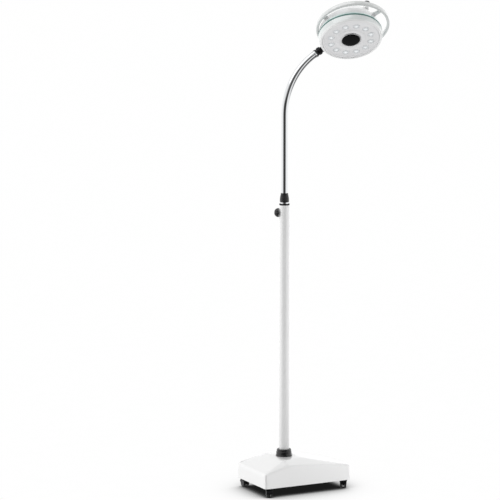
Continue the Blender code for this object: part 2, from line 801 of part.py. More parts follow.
def knuckle_fork():
    """Two cheeks on a round foot, whose spigot turns in the arm's end."""
    inner = TONGUE_THICKNESS / 2 + GAP
    outer = inner + CHEEK_THICKNESS
    foot_bottom = 12 * MM + GAP - PIVOT_REACH
    profile = [
        (0, foot_bottom + 3.2 * MM),
        (13 * MM, foot_bottom + 3.2 * MM),
        (14 * MM, foot_bottom + 1.5 * MM),
        (14 * MM, foot_bottom),
        (6.5 * MM, foot_bottom),
        (6.5 * MM, foot_bottom - 27 * MM),
        (0, foot_bottom - 27 * MM),
    ]
    fork = turned("knuckle_fork", profile, 20)
    for side in (-1, 1):
        middle = side * (inner + outer) / 2
        cheek = rod("cheek", CHEEK_RADIUS, -CHEEK_THICKNESS / 2, CHEEK_THICKNESS / 2, 20, CUTTERS)
        cheek.rotation_euler = (0, math.radians(90), 0)
        cheek.location = (middle, 0, 0)
        join(fork, cheek)
        low = (middle - CHEEK_THICKNESS / 2, -9.5 * MM, foot_bottom + 1 * MM)
        high = (middle + CHEEK_THICKNESS / 2, 9.5 * MM, 0)
        join(fork, box("web", low, high, 0, CUTTERS))
    bore = rod("bore", 3.3 * MM, -20 * MM, 20 * MM, 16, CUTTERS)
    bore.rotation_euler = (0, math.radians(90), 0)
    cut(fork, bore)
    place(fork, KNUCKLE)
    own_material(fork, "black_plastic")


def pivot_bolt():
    """Bolt with a domed head through the cheeks, and the domed nut at its other end."""
    face = TONGUE_THICKNESS / 2 + CHEEK_THICKNESS + 2 * GAP
    bolt_profile = [
        (0, face + 4.5 * MM),
        (5 * MM, face + 3.8 * MM),
        (8 * MM, face + 1.8 * MM),
        (8.5 * MM, face),
        (3 * MM, face),
        (3 * MM, -face - 1.8 * MM),
        (0, -face - 1.8 * MM),
    ]
    bolt = turned("pivot_bolt", bolt_profile, 20)
    place(bolt, KNUCKLE, (0, 0, 0), (1, 0, 0))
    own_material(bolt, "black_oxide")

    nut_profile = [
        (0, -face - 2.1 * MM),
        (3.3 * MM, -face - 2.1 * MM),
        (3.3 * MM, -face),
        (8.5 * MM, -face),
        (8 * MM, -face - 1.8 * MM),
        (5 * MM, -face - 3.8 * MM),
        (0, -face - 4.5 * MM),
    ]
    nut = turned("pivot_nut", nut_profile, 20)
    place(nut, KNUCKLE, (0, 0, 0), (1, 0, 0))
    own_material(nut, "black_oxide")


def knuckle_link():
    """Tongue between the cheeks, with a shouldered stem that carries the head."""
    stem_profile = [
        (0, 45.6 * MM),
        (5 * MM, 45.6 * MM),
        (5 * MM, 19 * MM),
        (11 * MM, 19 * MM),
        (11.5 * MM, 17 * MM),
        (10.5 * MM, 14.2 * MM),
        (4.2 * MM, 13 * MM),
        (4.2 * MM, 5 * MM),
        (0, 5 * MM),
    ]
    link = turned("knuckle_link", stem_profile, 20)
    eye = rod("eye", 10 * MM, -TONGUE_THICKNESS / 2, TONGUE_THICKNESS / 2, 20, CUTTERS)
    eye.rotation_euler = (0, math.radians(90), 0)
    join(link, eye)
    bore = rod("bore", 3.3 * MM, -20 * MM, 20 * MM, 16, CUTTERS)
    bore.rotation_euler = (0, math.radians(90), 0)
    cut(link, bore)
    place(link, LINK)
    own_material(link, "black_plastic")

    retainer = tube("stem_retainer", 8 * MM, 5 * MM + GAP, 43.1 * MM, 45.4 * MM, 20)
    place(retainer, LINK)
    own_material(retainer, "bright_steel")


# ---------------------------------------------------------------- head

def boss_cutter(radius):
    """A cylinder along the head's X, where the boss passes the housing's rim."""
    cutter = rod("boss_cutter", radius, 95 * MM, 125 * MM, 20, CUTTERS)
    cutter.rotation_euler = (0, math.radians(90), 0)
    bpy.context.view_layer.update()
    return cutter


def head_boss():
    """Boss in which the stem turns; it is held by the heat sink behind the housing's rim."""
    outer = HEAD_REACH - 19 * MM - GAP
    profile = [
        (BOSS_RADIUS - 1 * MM, outer),
        (BOSS_RADIUS, outer - 1 * MM),
        (BOSS_RADIUS, 98 * MM),
        (5 * MM + GAP, 98 * MM),
        (5 * MM + GAP, outer),
    ]
    boss = turned("head_boss", profile, 20)
    place(boss, HEAD, (0, 0, 0), (1, 0, 0))
    own_material(boss, "white_enamel")


def front_bezel():
    profile = [
        (RING_RADIUS, -3.2 * MM),
        (RING_RADIUS - 0.6 * MM, -15 * MM),
        (113.8 * MM, -26 * MM),
        (110.5 * MM, -28.3 * MM),
        (106.5 * MM, -28.3 * MM),
        (104.5 * MM, -26 * MM),
        (104.5 * MM, -23.4 * MM),
        (110.5 * MM, -22.8 * MM),
        (113.8 * MM, -13 * MM),
        (114 * MM, -3.2 * MM),
    ]
    bezel = turned("front_bezel", profile, HEAD_STEPS)
    cut(bezel, boss_cutter(BOSS_RADIUS + GAP))
    place(bezel, HEAD)
    own_material(bezel, "white_enamel")


def face_plate():
    profile = [
        (104.1 * MM, -23.7 * MM),
        (104.1 * MM, -25.7 * MM),
        (35.3 * MM, -25.7 * MM),
        (35.3 * MM, -23.7 * MM),
    ]
    plate = turned("face_plate", profile, HEAD_STEPS)
    for spot in bolt_circle(LENS_COUNT, LENS_CIRCLE, LENS_START):
        hole = rod("lens_hole", LENS_RADIUS + 2 * GAP, -40 * MM, 0, 12, CUTTERS)
        hole.location = spot
        cut(plate, hole)
    place(plate, HEAD)
    own_material(plate, "face_silver")

    seal = tube("face_seal", 104 * MM, 98 * MM, -23.3 * MM, -21.8 * MM, 36)
    place(seal, HEAD)
    own_material(seal, "wheel_rubber")


def lens_plate():
    """One moulding: a ring that carries the twelve lenses in the face plate's holes."""
    plate = tube("lens_plate", 91 * MM, 59 * MM, -23.3 * MM, -21.3 * MM, 36)
    for spot in bolt_circle(LENS_COUNT, LENS_CIRCLE, LENS_START):
        profile = [
            (0, -22 * MM),
            (LENS_RADIUS, -22 * MM),
            (LENS_RADIUS, -25 * MM),
            (0, -26.6 * MM),
        ]
        lens = turned("lens", profile, 12, CUTTERS)
        lens.location = spot
        join(plate, lens)
    place(plate, HEAD)
    own_material(plate, "lens_clear")


def led_board():
    board = tube("led_board", 92 * MM, 20 * MM, -12 * MM, -10.4 * MM, 32)
    for spot in bolt_circle(LENS_COUNT, LENS_CIRCLE, LENS_START):
        low = spot + Vector((-3 * MM, -3 * MM, -14.5 * MM))
        high = spot + Vector((3 * MM, 3 * MM, -11.5 * MM))
        join(board, box("emitter", low, high, 0, CUTTERS))
    place(board, HEAD)
    own_material(board, "board_green")


def heat_sink():
    sink = rod("heat_sink", 94 * MM, -10.1 * MM, -2 * MM, 36)
    for row in range(-2, 3):
        y = row * 32 * MM
        half = math.sqrt((82 * MM) ** 2 - y ** 2)
        low = (-half, y - 1.5 * MM, -3 * MM)
        high = (half, y + 1.5 * MM, 20 * MM)
        join(sink, box("fin", low, high, 0, CUTTERS))
    place(sink, HEAD)
    own_material(sink, "aluminium_fins")


def sensor_window():
    """Black window in the middle of the face, its bright ring, and the sensor's board behind it."""
    profile = [
        (0, -22.5 * MM),
        (33 * MM, -22.5 * MM),
        (33 * MM, -27 * MM),
        (30 * MM, -27.8 * MM),
        (0, -28.3 * MM),
    ]
    window = turned("sensor_window", profile, 32)
    place(window, HEAD)
    own_material(window, "black_gloss")

    ring_profile = [
        (35 * MM, -22.5 * MM),
        (35 * MM, -26 * MM),
        (37.5 * MM, -26 * MM),
        (36.5 * MM, -27.8 * MM),
        (33.3 * MM, -27.4 * MM),
        (33.3 * MM, -22.5 * MM),
    ]
    ring = turned("sensor_bezel", ring_profile, 32)
    place(ring, HEAD)
    own_material(ring, "chrome_plate")

    board = rod("sensor_board", 29 * MM, -19 * MM, -17.4 * MM, 24)
    place(board, HEAD)
    own_material(board, "board_green")


def light_ring():
    ring = tube("light_ring", RING_RADIUS, 110 * MM, -2.9 * MM, 2.9 * MM, HEAD_STEPS)
    cut(ring, boss_cutter(BOSS_RADIUS + GAP))
    place(ring, HEAD)
    own_material(ring, "teal_acrylic")


def cover_profile(shrink=0.0):
    """The back cover's outline from its rim to its middle, moved inwards by shrink."""
    outline = [
        (116.5 * MM, 3.2 * MM),
        (110.5 * MM, 13 * MM),
        (106 * MM, 28 * MM),
        (101 * MM, 43 * MM),
        (93 * MM, 57 * MM),
        (80 * MM, 69 * MM),
        (55 * MM, 79 * MM),
        (0, 85 * MM),
    ]
    if shrink == 0:
        return outline
    moved = [(outline[0][0] - shrink, outline[0][1])]
    for before, here, after in zip(outline, outline[1:], outline[2:]):
        run = Vector(after) - Vector(before)
        normal = Vector((run.y, -run.x)).normalized()
        moved.append((here[0] - normal.x * shrink, here[1] - normal.y * shrink))
    moved.append((0, outline[-1][1] - shrink))
    return moved


def back_cover():
    profile = cover_profile()[::-1] + cover_profile(2.8 * MM)
    cover = turned("back_cover", profile, 36)
    cut(cover, boss_cutter(BOSS_RADIUS + GAP))
    hole = rod("shaft_hole", 3.6 * MM, -20 * MM, 20 * MM, 16, CUTTERS)
    place(hole, None, DIMMER_POINT, DIMMER_DIRECTION)
    cut(cover, hole)
    place(cover, HEAD)
    own_material(cover, "white_enamel")


def handle_ring():
    """A band on the back cover and an open hoop round it, joined by four spokes."""
    low = 21 * MM
    high = 39 * MM
    inner = HOOP_RADIUS - HOOP_SECTION
    profile = [
        (HOOP_RADIUS - 3.5 * MM, high),
        (HOOP_RADIUS, high - 3.5 * MM),
        (HOOP_RADIUS, low + 3.5 * MM),
        (HOOP_RADIUS - 3.5 * MM, low),
        (inner + 3 * MM, low),
        (inner, low + 3 * MM),
        (inner, high - 3 * MM),
        (inner + 3 * MM, high),
    ]
    hoop = turned("handle_ring", profile, 40)
    hoop.data.transform(Matrix.Translation((-HOOP_OFFSET, 0, 0)))

    band_profile = [
        (108.4 * MM, 36 * MM),
        (110.4 * MM, 26 * MM),
        (107.4 * MM, 26 * MM),
        (104.4 * MM, 36 * MM),
    ]
    join(hoop, turned("band", band_profile, 36, CUTTERS))
    for angle in SPOKE_ANGLES:
        reach = -HOOP_OFFSET * math.cos(math.radians(angle)) + HOOP_RADIUS - HOOP_SECTION / 2
        spoke = box("spoke", (108.2 * MM, -12 * MM, 27 * MM), (reach, 12 * MM, 34 * MM), 1.5 * MM, CUTTERS)
        spoke.rotation_euler = (0, 0, math.radians(angle))
        bpy.context.view_layer.update()
        join(hoop, spoke)
    place(hoop, HEAD)
    own_material(hoop, "white_enamel")


def dimmer():
    """Control on the back cover's slope: its body inside, and the shaft and knob that turn."""
    pot = tube("dimmer_control", 8.5 * MM, 3.3 * MM, -15 * MM, -7.2 * MM, 24)
    place(pot, HEAD, DIMMER_POINT, DIMMER_DIRECTION)
    own_material(pot, "black_plastic")

    axis = bpy.data.objects.new("dimmer_axis", None)
    PARTS.objects.link(axis)
    place(axis, HEAD, DIMMER_POINT, DIMMER_DIRECTION)
    shaft = rod("dimmer_shaft", 3 * MM, -12 * MM, 18 * MM, 16)
    place(shaft, axis)
    own_material(shaft, "bright_steel")

    profile = [
        (0, DIMMER_HEIGHT),
        (8.5 * MM, DIMMER_HEIGHT),
        (10 * MM, DIMMER_HEIGHT - 1.5 * MM),
        (11.5 * MM, 6 * MM),
        (11.5 * MM, 3.2 * MM),
        (3.3 * MM, 3.2 * MM),
        (3.3 * MM, 18.3 * MM),
        (0, 18.3 * MM),
    ]
    knob = turned("dimmer_knob", profile, 28)
    place(knob, axis)
    own_material(knob, "black_plastic")


# ---------------------------------------------------------------- assembly

clear_scene()
PARTS = new_collection("surgical_light")
CUTTERS = new_collection("cutters")

STAND = bpy.data.objects.new("stand_frame", None)
PARTS.objects.link(STAND)
STAND.location = (POLE_X, POLE_Y, 0)

REAR_WALL = rear_wall_frame()
base_cover()
base_plate()
counterweight()
pole_socket()
pole_collar()
power_supply()
power_inlet()
power_switch()
for CORNER, (CASTER_X, CASTER_Y) in caster_places().items():
    caster(CORNER, CASTER_X, CASTER_Y)

pole_tube()
pole_cap()
clamp()
inner_tube()
swivel_nut()
arm_tube()
arm_lead()

KNUCKLE = knuckle_frame()
PIVOT = arm_end() + arm_direction() * PIVOT_REACH
LINK = frame_empty("link_frame", STAND, PIVOT, arm_direction().cross(head_direction()), head_direction())
arm_nut_upper()
knuckle_fork()
pivot_bolt()
knuckle_link()

HEAD = frame_empty(
    "head_frame",
    STAND,
    PIVOT + head_direction() * HEAD_REACH,
    -head_direction(),
    -Vector(LIGHT_DIRECTION).normalized(),
)
head_boss()
front_bezel()
face_plate()
lens_plate()
led_board()
heat_sink()
sensor_window()
light_ring()
back_cover()
handle_ring()
dimmer()
bpy.context.view_layer.update()
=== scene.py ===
"""Surgical light: the looks of a mobile LED examination lamp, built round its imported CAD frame.

Each piece is made in the frame of the body it rides on, from the same dimensions as the CAD solid it
stands for, with the roundings, ribs, screws and finishes that the solid leaves out.  Shapes are drawn in
millimetres and scaled when a piece is placed; matrices, the studio and materials are in metres.  Z is up.
A piece's mesh keeps the world's axes, so its box is true; a material that needs the axes of a turned frame
turns its own coordinates.
"""

import json
from math import copysign, cos, pi, radians, sin, sqrt

import bmesh
import bpy
from mathutils import Matrix, Vector
from mathutils.bvhtree import BVHTree

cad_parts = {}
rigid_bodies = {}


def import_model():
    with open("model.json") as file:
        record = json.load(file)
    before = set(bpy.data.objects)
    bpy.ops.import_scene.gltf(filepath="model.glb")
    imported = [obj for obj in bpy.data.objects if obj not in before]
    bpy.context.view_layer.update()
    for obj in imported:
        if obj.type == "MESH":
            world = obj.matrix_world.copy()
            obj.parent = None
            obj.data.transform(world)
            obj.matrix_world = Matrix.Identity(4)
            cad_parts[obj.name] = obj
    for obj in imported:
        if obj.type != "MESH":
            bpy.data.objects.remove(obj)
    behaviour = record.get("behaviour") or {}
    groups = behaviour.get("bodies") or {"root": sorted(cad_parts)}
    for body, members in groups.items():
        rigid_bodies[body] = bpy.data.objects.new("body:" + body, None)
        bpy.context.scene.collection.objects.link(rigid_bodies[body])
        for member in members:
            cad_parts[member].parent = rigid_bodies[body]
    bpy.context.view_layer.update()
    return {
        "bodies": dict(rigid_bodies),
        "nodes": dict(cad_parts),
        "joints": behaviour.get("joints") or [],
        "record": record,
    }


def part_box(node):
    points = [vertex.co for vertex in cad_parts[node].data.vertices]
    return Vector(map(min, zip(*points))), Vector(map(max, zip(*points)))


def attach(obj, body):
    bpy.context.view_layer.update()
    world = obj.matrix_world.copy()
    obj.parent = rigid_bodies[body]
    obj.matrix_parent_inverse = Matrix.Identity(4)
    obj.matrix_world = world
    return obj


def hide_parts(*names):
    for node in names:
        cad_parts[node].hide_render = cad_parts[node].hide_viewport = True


MM = 0.001
SHARP_ANGLE = 32
ON_AXIS = 1e-7

# Base, from the pole's axis
BASE_LEFT = -137.5
BASE_RIGHT = 221
BASE_HALF_DEPTH = 115.5
COVER_BOTTOM = 35
COVER_WALL = 3
COVER_CORNER = 10
COVER_EDGE = 8
COVER_LIP = 6
COVER_STEP = 0.5
WALL_LEAN = 0.08
END_LEAN = 0.03
FRONT_EAVE = ((-137.5, 88), (-40, 113), (44, 109), (140, 100), (221, 90))
REAR_EAVE = ((-137.5, 91), (-40, 113), (44, 107), (140, 92), (221, 77))
CROWN_LEFT = (-38, 72)
CROWN_RIGHT = (46, 62)
CROWN_HEIGHT = 126
CROWN_CORNER = 10
CROWN_SOFTNESS = 7
EAVE_INSET = 5
EAVE_SPREAD = 18
EAVE_SAMPLES = 6
EAVE_DROP = 0.75
CORNER_STEPS = 8
LONG_SIDE_STEPS = 40
SHORT_SIDE_STEPS = 24
SKIN_GAP = 0.3
COLLAR_TOP = 152
FLANGE_GAP = 0.3

# Casters
WHEEL_RADIUS = 14.7
WHEEL_HALF_WIDTH = 4
WHEEL_OFFSET = 8
FENDER_RADIUS = 17
CASTER_TRAIL = 8
CASTER_PLATE_RADIUS = 16
CASTER_TOP = 39.7
AXLE_HEIGHT = 14.772

# Column and arm
POLE_RADIUS = 19
POLE_WALL = 2
POLE_BOTTOM = 50
POLE_TOP = 1061.4
INNER_RADIUS = 15.5
INNER_TOP = 1078
ARM_RADIUS = 12.5
ARM_WALL = 1.5
ARM_BOTTOM = 1015
ARM_BEND_START = 1390
ARM_BEND_RADIUS = 255
ARM_BEND_ANGLE = 58
ARM_SIDES = 64
NUT_BOTTOM = 1072.3
NUT_TOP = 1106
PIVOT_REACH = 27

# Head
LIGHT_DIRECTION = (-0.224, -0.625, -0.749)
HEAD_REACH = 140.8
RING_RADIUS = 117
HOOP_RADIUS = 134.7
HOOP_SECTION = 11
HOOP_OFFSET = 15
HOOP_LOW = 21
HOOP_HIGH = 39
SPOKE_ANGLES = (0, 75, 180, 285)
LENS_COUNT = 12
LENS_CIRCLE = 75
LENS_START = 21
LENS_RADIUS = 12
LENS_CORE = 5.6
HEAD_STEPS = 144

# Camera, in metres from the pole's axis
CAMERA_AZIMUTH = -28
CAMERA_DISTANCE = 9.0
CAMERA_HEIGHT = 2.13
AIM_HEIGHT = 0.895
AIM_SIDE = -0.126
FRAME_SPAN = 1.835
SENSOR = 36.0

# Light round the object, by degrees from the camera's view
RAMP_TOP = 2.0
SKY_LIGHT = 0.75
HIGH_LIGHT = (
    (-180, 0.95), (-100, 1.20), (-60, 1.20), (-32, 0.70), (-10, 0.12), (48, 0.12), (75, 1.00), (110, 1.15),
    (179, 0.95),
)
SIDE_LIGHT = (
    (-180, 1.20), (-120, 1.30), (-70, 1.25), (-48, 0.90), (-30, 0.06), (32, 0.06), (44, 1.00), (85, 1.35),
    (179, 1.20),
)
FLOOR_LIGHT = (
    (-180, 0.80), (-100, 0.90), (-60, 0.70), (-35, 0.10), (100, 0.08), (130, 0.60), (179, 0.80),
)
SUN_PLACE = (-2.6, -1.0, 5.5)
SUN_STRENGTH = 0.80
SUN_SPREAD = 60
FILL_PLACE = (0.80, -0.42, 0.16)
FILL_TARGET = (0.24, 0, 0.07)
FILL_POWER = 1.0
FILL_SIZE = 0.25

# Shadow painted into the floor's glow
SHADOW_REACH = 0.42
SHADOW_LEAST = 0.011
SHADOW_FULL = 0.17
SHADOW_NONE = 0.985
FLOOR_RADIUS = 120.0


# ---------------- mesh helpers

def raised(lift, *points):
    """Outline points with their heights counted from lift."""
    return [(radius, lift + height) for radius, height in points]


def fillet(points, radius, closed, segments=3):
    """Round the corners of a chain of (radius, height) points."""
    result = []
    count = len(points)
    for index, point in enumerate(points):
        if not closed and index in (0, count - 1):
            result.append(point)
            continue
        corner = Vector(point)
        before = Vector(points[index - 1]) - corner
        after = Vector(points[(index + 1) % count]) - corner
        reach = min(radius, 0.45 * before.length, 0.45 * after.length)
        start = corner + before.normalized() * reach
        end = corner + after.normalized() * reach
        for step in range(segments + 1):
            t = step / segments
            spot = start * (1 - t) ** 2 + corner * (2 * t * (1 - t)) + end * t * t
            result.append((spot.x, spot.y))
    return result


def add_rings(bm, rings, closed_loop=False, material_index=0):
    """Skin a list of vertex rings, and back to the first one in a closed loop; one vertex alone is a pole."""
    pairs = list(zip(rings, rings[1:]))
    if closed_loop:
        pairs.append((rings[-1], rings[0]))
    for first, second in pairs:
        count = max(len(first), len(second))
        for step in range(count):
            other = (step + 1) % count
            corners = []
            for ring, index in ((first, step), (first, other), (second, other), (second, step)):
                vertex = ring[0] if len(ring) == 1 else ring[index]
                if vertex not in corners:
                    corners.append(vertex)
            if len(corners) > 2:
                face = bm.faces.new(corners)
                face.material_index = material_index


def lathe(bm, profile, steps, matrix=None, wave=None, material_index=0):
    """Turn (radius, height) points about Z; a profile that starts off the axis is a closed loop."""
    matrix = matrix or Matrix.Identity(4)
    rings = []
    for index, (radius, height) in enumerate(profile):
        if radius < ON_AXIS:
            rings.append([bm.verts.new(matrix @ Vector((0, 0, height)))])
            continue
        ring = []
        for step in range(steps):
            angle = 2 * pi * step / steps
            reach = radius - (wave(angle, radius, height) if wave else 0.0)
            ring.append(bm.verts.new(matrix @ Vector((reach * cos(angle), reach * sin(angle), height))))
        rings.append(ring)
    add_rings(bm, rings, profile[0][0] > ON_AXIS, material_index)


def around(degrees, radius=1.0):
    """The (x, y) point at an angle on a circle."""
    return Vector((radius * cos(radians(degrees)), radius * sin(radians(degrees))))


def capped(bm, rings):
    """Skin the rings and close both ends."""
    add_rings(bm, rings)
    bm.faces.new(rings[0])
    bm.faces.new(list(reversed(rings[-1])))


def slab(bm, outline, low, high, rounding, matrix=None, segments=2):
    """A plate of the (x, y) outline between two heights, with its rims rounded."""
    matrix = matrix or Matrix.Identity(4)
    centre = sum((Vector(point) for point in outline), Vector((0, 0))) / len(outline)
    rings = []
    levels = []
    for step in range(segments + 1):
        angle = radians(90 * step / segments)
        levels.append((low + rounding * (1 - sin(angle)), rounding * (1 - cos(angle))))
    levels = levels[::-1]
    upper = [(low + high - height, inset) for height, inset in reversed(levels)]
    for height, inset in levels + upper:
        ring = []
        for point in outline:
            inward = centre - Vector(point)
            spot = Vector(point) + inward.normalized() * min(inset, inward.length)
            ring.append(bm.verts.new(matrix @ Vector((spot.x, spot.y, height))))
        rings.append(ring)
    capped(bm, rings)


def rounded_rectangle(low_x, low_y, high_x, high_y, radius, steps=5):
    points = []
    corners = ((high_x, high_y, 0), (low_x, high_y, 90), (low_x, low_y, 180), (high_x, low_y, 270))
    for x, y, start in corners:
        centre_x = x - copysign(radius, x - (low_x + high_x) / 2)
        centre_y = y - copysign(radius, y - (low_y + high_y) / 2)
        for step in range(steps + 1):
            angle = radians(start + 90 * step / steps)
            points.append((centre_x + radius * cos(angle), centre_y + radius * sin(angle)))
    return points


def new_object(name, bm, location=(0, 0, 0)):
    """Move the bmesh into a new object with its origin at the location."""
    bmesh.ops.recalc_face_normals(bm, faces=bm.faces)
    mesh = bpy.data.meshes.new(name)
    bm.to_mesh(mesh)
    bm.free()
    smoothed(mesh)
    made = bpy.data.objects.new(name, mesh)
    bpy.context.scene.collection.objects.link(made)
    made.matrix_world = Matrix.Translation(location)
    return made


def smoothed(mesh):
    mesh.shade_smooth()
    mesh.set_sharp_from_angle(angle=radians(SHARP_ANGLE))


def bake(piece):
    """Put the piece's modifiers into its mesh."""
    bpy.context.view_layer.update()
    graph = bpy.context.evaluated_depsgraph_get()
    piece.data = bpy.data.meshes.new_from_object(piece.evaluated_get(graph))
    piece.modifiers.clear()


def world_axes(matrix):
    """The matrix's turn, with the change from millimetres to metres."""
    return matrix.to_3x3().to_4x4() @ Matrix.Scale(MM, 4)


def add_piece(name, bm, matrix, body, materials, node=None):
    """Make the object, give it its finish, and let it ride on its body in place of its CAD node."""
    bm.transform(world_axes(matrix))
    piece = new_object(name, bm, matrix.translation)
    for entry in materials:
        piece.data.materials.append(entry)
    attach(piece, body)
    if node:
        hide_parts(node)
    return piece


def groove(angle, count, depth, power=2):
    """Depth of narrow valleys, so many round the axis, at an angle."""
    return depth * (0.5 - 0.5 * cos(count * angle)) ** power


def turned(name, outline, steps, matrix, body, material, node, wave=None):
    """A piece that is one outline turned about the matrix's Z."""
    bm = bmesh.new()
    lathe(bm, outline, steps, wave=wave)
    return add_piece(name, bm, matrix, body, [material], node)


def cut_out(piece, cutter, matrix):
    """Cut the closed shapes that the cutter draws in the matrix's frame out of the piece's mesh."""
    bm = bmesh.new()
    cutter(bm)
    bm.transform(world_axes(matrix))
    tool = new_object("cutter", bm, piece.matrix_world.translation)
    modifier = piece.modifiers.new("Cut", "BOOLEAN")
    modifier.operation = "DIFFERENCE"
    modifier.solver = "EXACT"
    modifier.object = tool
    bake(piece)
    smoothed(piece.data)
    bpy.data.objects.remove(tool)


def frame_matrix(origin, axis_x, axis_z):
    x = Vector(axis_x).normalized()
    z = Vector(axis_z).normalized()
    y = z.cross(x)
    return Matrix.Translation(origin) @ Matrix((x, y, z)).transposed().to_4x4()


def facing(location, direction):
    """A matrix at the location whose Z lies along the direction."""
    turn = Vector(direction).to_track_quat("Z", "Y").to_matrix().to_4x4()
    return Matrix.Translation(Vector(location)) @ turn


# ---------------- materials

class Nodes:
    """Builds a node tree; a frame's matrix turns its coordinates into that frame's axes."""

    def __init__(self, name, frame=None, world=False):
        self.owner = (bpy.data.worlds if world else bpy.data.materials).new(name)
        self.owner.use_nodes = True
        self.tree = self.owner.node_tree
        self.place = self.made("TexCoord", "Generated" if world else "Object")
        if frame:
            turn = frame.to_3x3().inverted().to_euler()
            self.place = self.made("Mapping", "Vector", {"Rotation": turn, "Vector": self.place})

    def plug(self, socket, value):
        """Link an output to the socket, or give the socket a value."""
        if isinstance(value, bpy.types.NodeSocket):
            self.tree.links.new(value, socket)
        else:
            socket.default_value = value

    def made(self, kind, output, inputs=None, **settings):
        """One output of a new node with these inputs and settings."""
        node = self.tree.nodes.new("ShaderNode" + kind)
        for key, value in settings.items():
            setattr(node, key, value)
        for key, value in (inputs or {}).items():
            self.plug(node.inputs[key], value)
        return node.outputs[output]

    def stretched(self, scale):
        return self.made("Mapping", "Vector", {"Scale": scale, "Vector": self.place})

    def noise(self, scale, detail=3.0, vector=None):
        inputs = {"Scale": scale, "Detail": detail, "Vector": vector or self.place}
        return self.made("TexNoise", "Fac", inputs)

    def ranged(self, value, low, high, start=0.3, end=0.7, smooth=False):
        inputs = {"Value": value, "From Min": start, "From Max": end, "To Min": low, "To Max": high}
        kind = "SMOOTHSTEP" if smooth else "LINEAR"
        return self.made("MapRange", "Result", inputs, interpolation_type=kind)

    def math(self, operation, first, second, third=0.0):
        return self.made("Math", "Value", {0: first, 1: second, 2: third}, operation=operation)

    def mixed(self, factor, *colours):
        first, second = ((*colour, 1.0) if isinstance(colour, tuple) else colour for colour in colours)
        return self.made("Mix", "Result", {"Factor": factor, "A": first, "B": second}, data_type="RGBA")

    def edges(self, start, end):
        """1 on outward edges, 0 on flats and hollows."""
        return self.ranged(self.made("NewGeometry", "Pointiness"), 0.0, 1.0, start, end)

    def axis(self, name):
        return self.made("SeparateXYZ", name, {"Vector": self.place})

    def bump(self, height, strength, distance, previous=None):
        inputs = {"Strength": strength, "Distance": distance, "Height": height}
        if previous:
            inputs["Normal"] = previous
        return self.made("Bump", "Normal", inputs)

    def surface(self, colour, rough, normal, **values):
        """Give the shader its inputs, and return the material."""
        values.update(Base_Color=colour, Roughness=rough, Normal=normal)
        for key, value in values.items():
            self.plug(self.tree.nodes["Principled BSDF"].inputs[key.replace("_", " ")], value)
        return self.owner


def shade(colour, factor):
    return tuple(min(1.0, channel * factor) for channel in colour)


def enamel(name, colour, frame=None, painted_light_tint=None, painted_light_start=0.0, painted_light_end=0.0):
    """Gloss paint or moulding: faint orange peel, faint patches, and soft scuffs on its gloss; a tint, where
    given, is painted light (painted shade or a painted glow from the teal ring) in a band along the frame's
    Z.
    """
    nodes = Nodes(name, frame)
    patches = nodes.ranged(nodes.noise(7.0), 0.0, 1.0)
    base = nodes.mixed(patches, shade(colour, 0.985), colour)
    # Painted light: the tint is painted into the base colour over a band along Z, as painted shade or a
    # painted glow.
    if painted_light_tint:
        band = nodes.ranged(nodes.axis("Z"), 1.0, 0.0, painted_light_start, painted_light_end, smooth=True)
        base = nodes.mixed(band, base, painted_light_tint)
    worn = nodes.math("MULTIPLY", nodes.edges(0.52, 0.6), nodes.ranged(nodes.noise(60.0), 0.0, 0.5))
    return nodes.surface(
        nodes.mixed(worn, base, shade(colour, 0.95)),
        nodes.ranged(nodes.noise(45.0, 5.0), 0.29, 0.32),
        nodes.bump(nodes.noise(300.0, 2.0), 0.04, 0.00012),
        Specular_IOR_Level=0.9, Coat_Weight=1.0, Coat_Roughness=0.16, Coat_IOR=1.75,
    )


def plated(name, colour, roughness):
    """Polished plating: its gloss varies with wiping marks along it and a few faint spots."""
    nodes = Nodes(name)
    wipes = nodes.noise(30.0, 4.0, nodes.stretched((1.0, 1.0, 0.12)))
    patches = nodes.ranged(nodes.noise(9.0), 0.0, 1.0)
    return nodes.surface(
        nodes.mixed(patches, shade(colour, 0.96), colour),
        nodes.ranged(wipes, roughness * 0.6, roughness * 1.8),
        nodes.bump(nodes.noise(500.0, 2.0, nodes.stretched((1.0, 1.0, 0.05))), 0.02, 0.0002),
        Metallic=1.0,
    )


def machined(name, colour, roughness=0.3):
    """Turned or milled metal with fine tool marks round it and brighter edges."""
    nodes = Nodes(name)
    marks = nodes.noise(900.0, 2.0, nodes.stretched((0.12, 0.12, 1.0)))
    return nodes.surface(
        nodes.mixed(nodes.edges(0.52, 0.6), colour, shade(colour, 1.25)),
        nodes.ranged(marks, roughness * 0.8, roughness * 1.35),
        nodes.bump(marks, 0.12, 0.0002),
        Metallic=1.0,
    )


def moulded(name, colour, roughness, grain=0.12, coat=0.0, shine=0.4):
    """Moulded plastic: fine spark grain, patchy gloss and edges rubbed a little lighter."""
    nodes = Nodes(name)
    fine = nodes.noise(2200.0, 2.0)
    rubbed = nodes.math("MULTIPLY", nodes.edges(0.52, 0.62), nodes.ranged(nodes.noise(140.0), 0.1, 0.9))
    patches = nodes.ranged(nodes.noise(20.0), 0.0, 1.0)
    base = nodes.mixed(patches, shade(colour, 0.85), shade(colour, 1.1))
    lighter = tuple(channel * 1.5 + 0.004 for channel in colour)
    return nodes.surface(
        nodes.mixed(rubbed, base, lighter),
        nodes.ranged(nodes.noise(70.0, 4.0), roughness * 0.82, roughness * 1.18),
        nodes.bump(fine, grain, 0.0002),
        Specular_IOR_Level=shine, Coat_Weight=coat, Coat_Roughness=0.12,
    )


def tread_rubber(name, colour):
    """Dull rubber, dusty where it rolls."""
    nodes = Nodes(name)
    dust = nodes.ranged(nodes.noise(160.0, 4.0), 0.0, 0.55)
    return nodes.surface(
        nodes.mixed(dust, colour, tuple(channel + 0.022 for channel in colour)),
        nodes.ranged(nodes.noise(90.0), 0.62, 0.85),
        nodes.bump(nodes.noise(1400.0, 3.0), 0.25, 0.0003),
    )


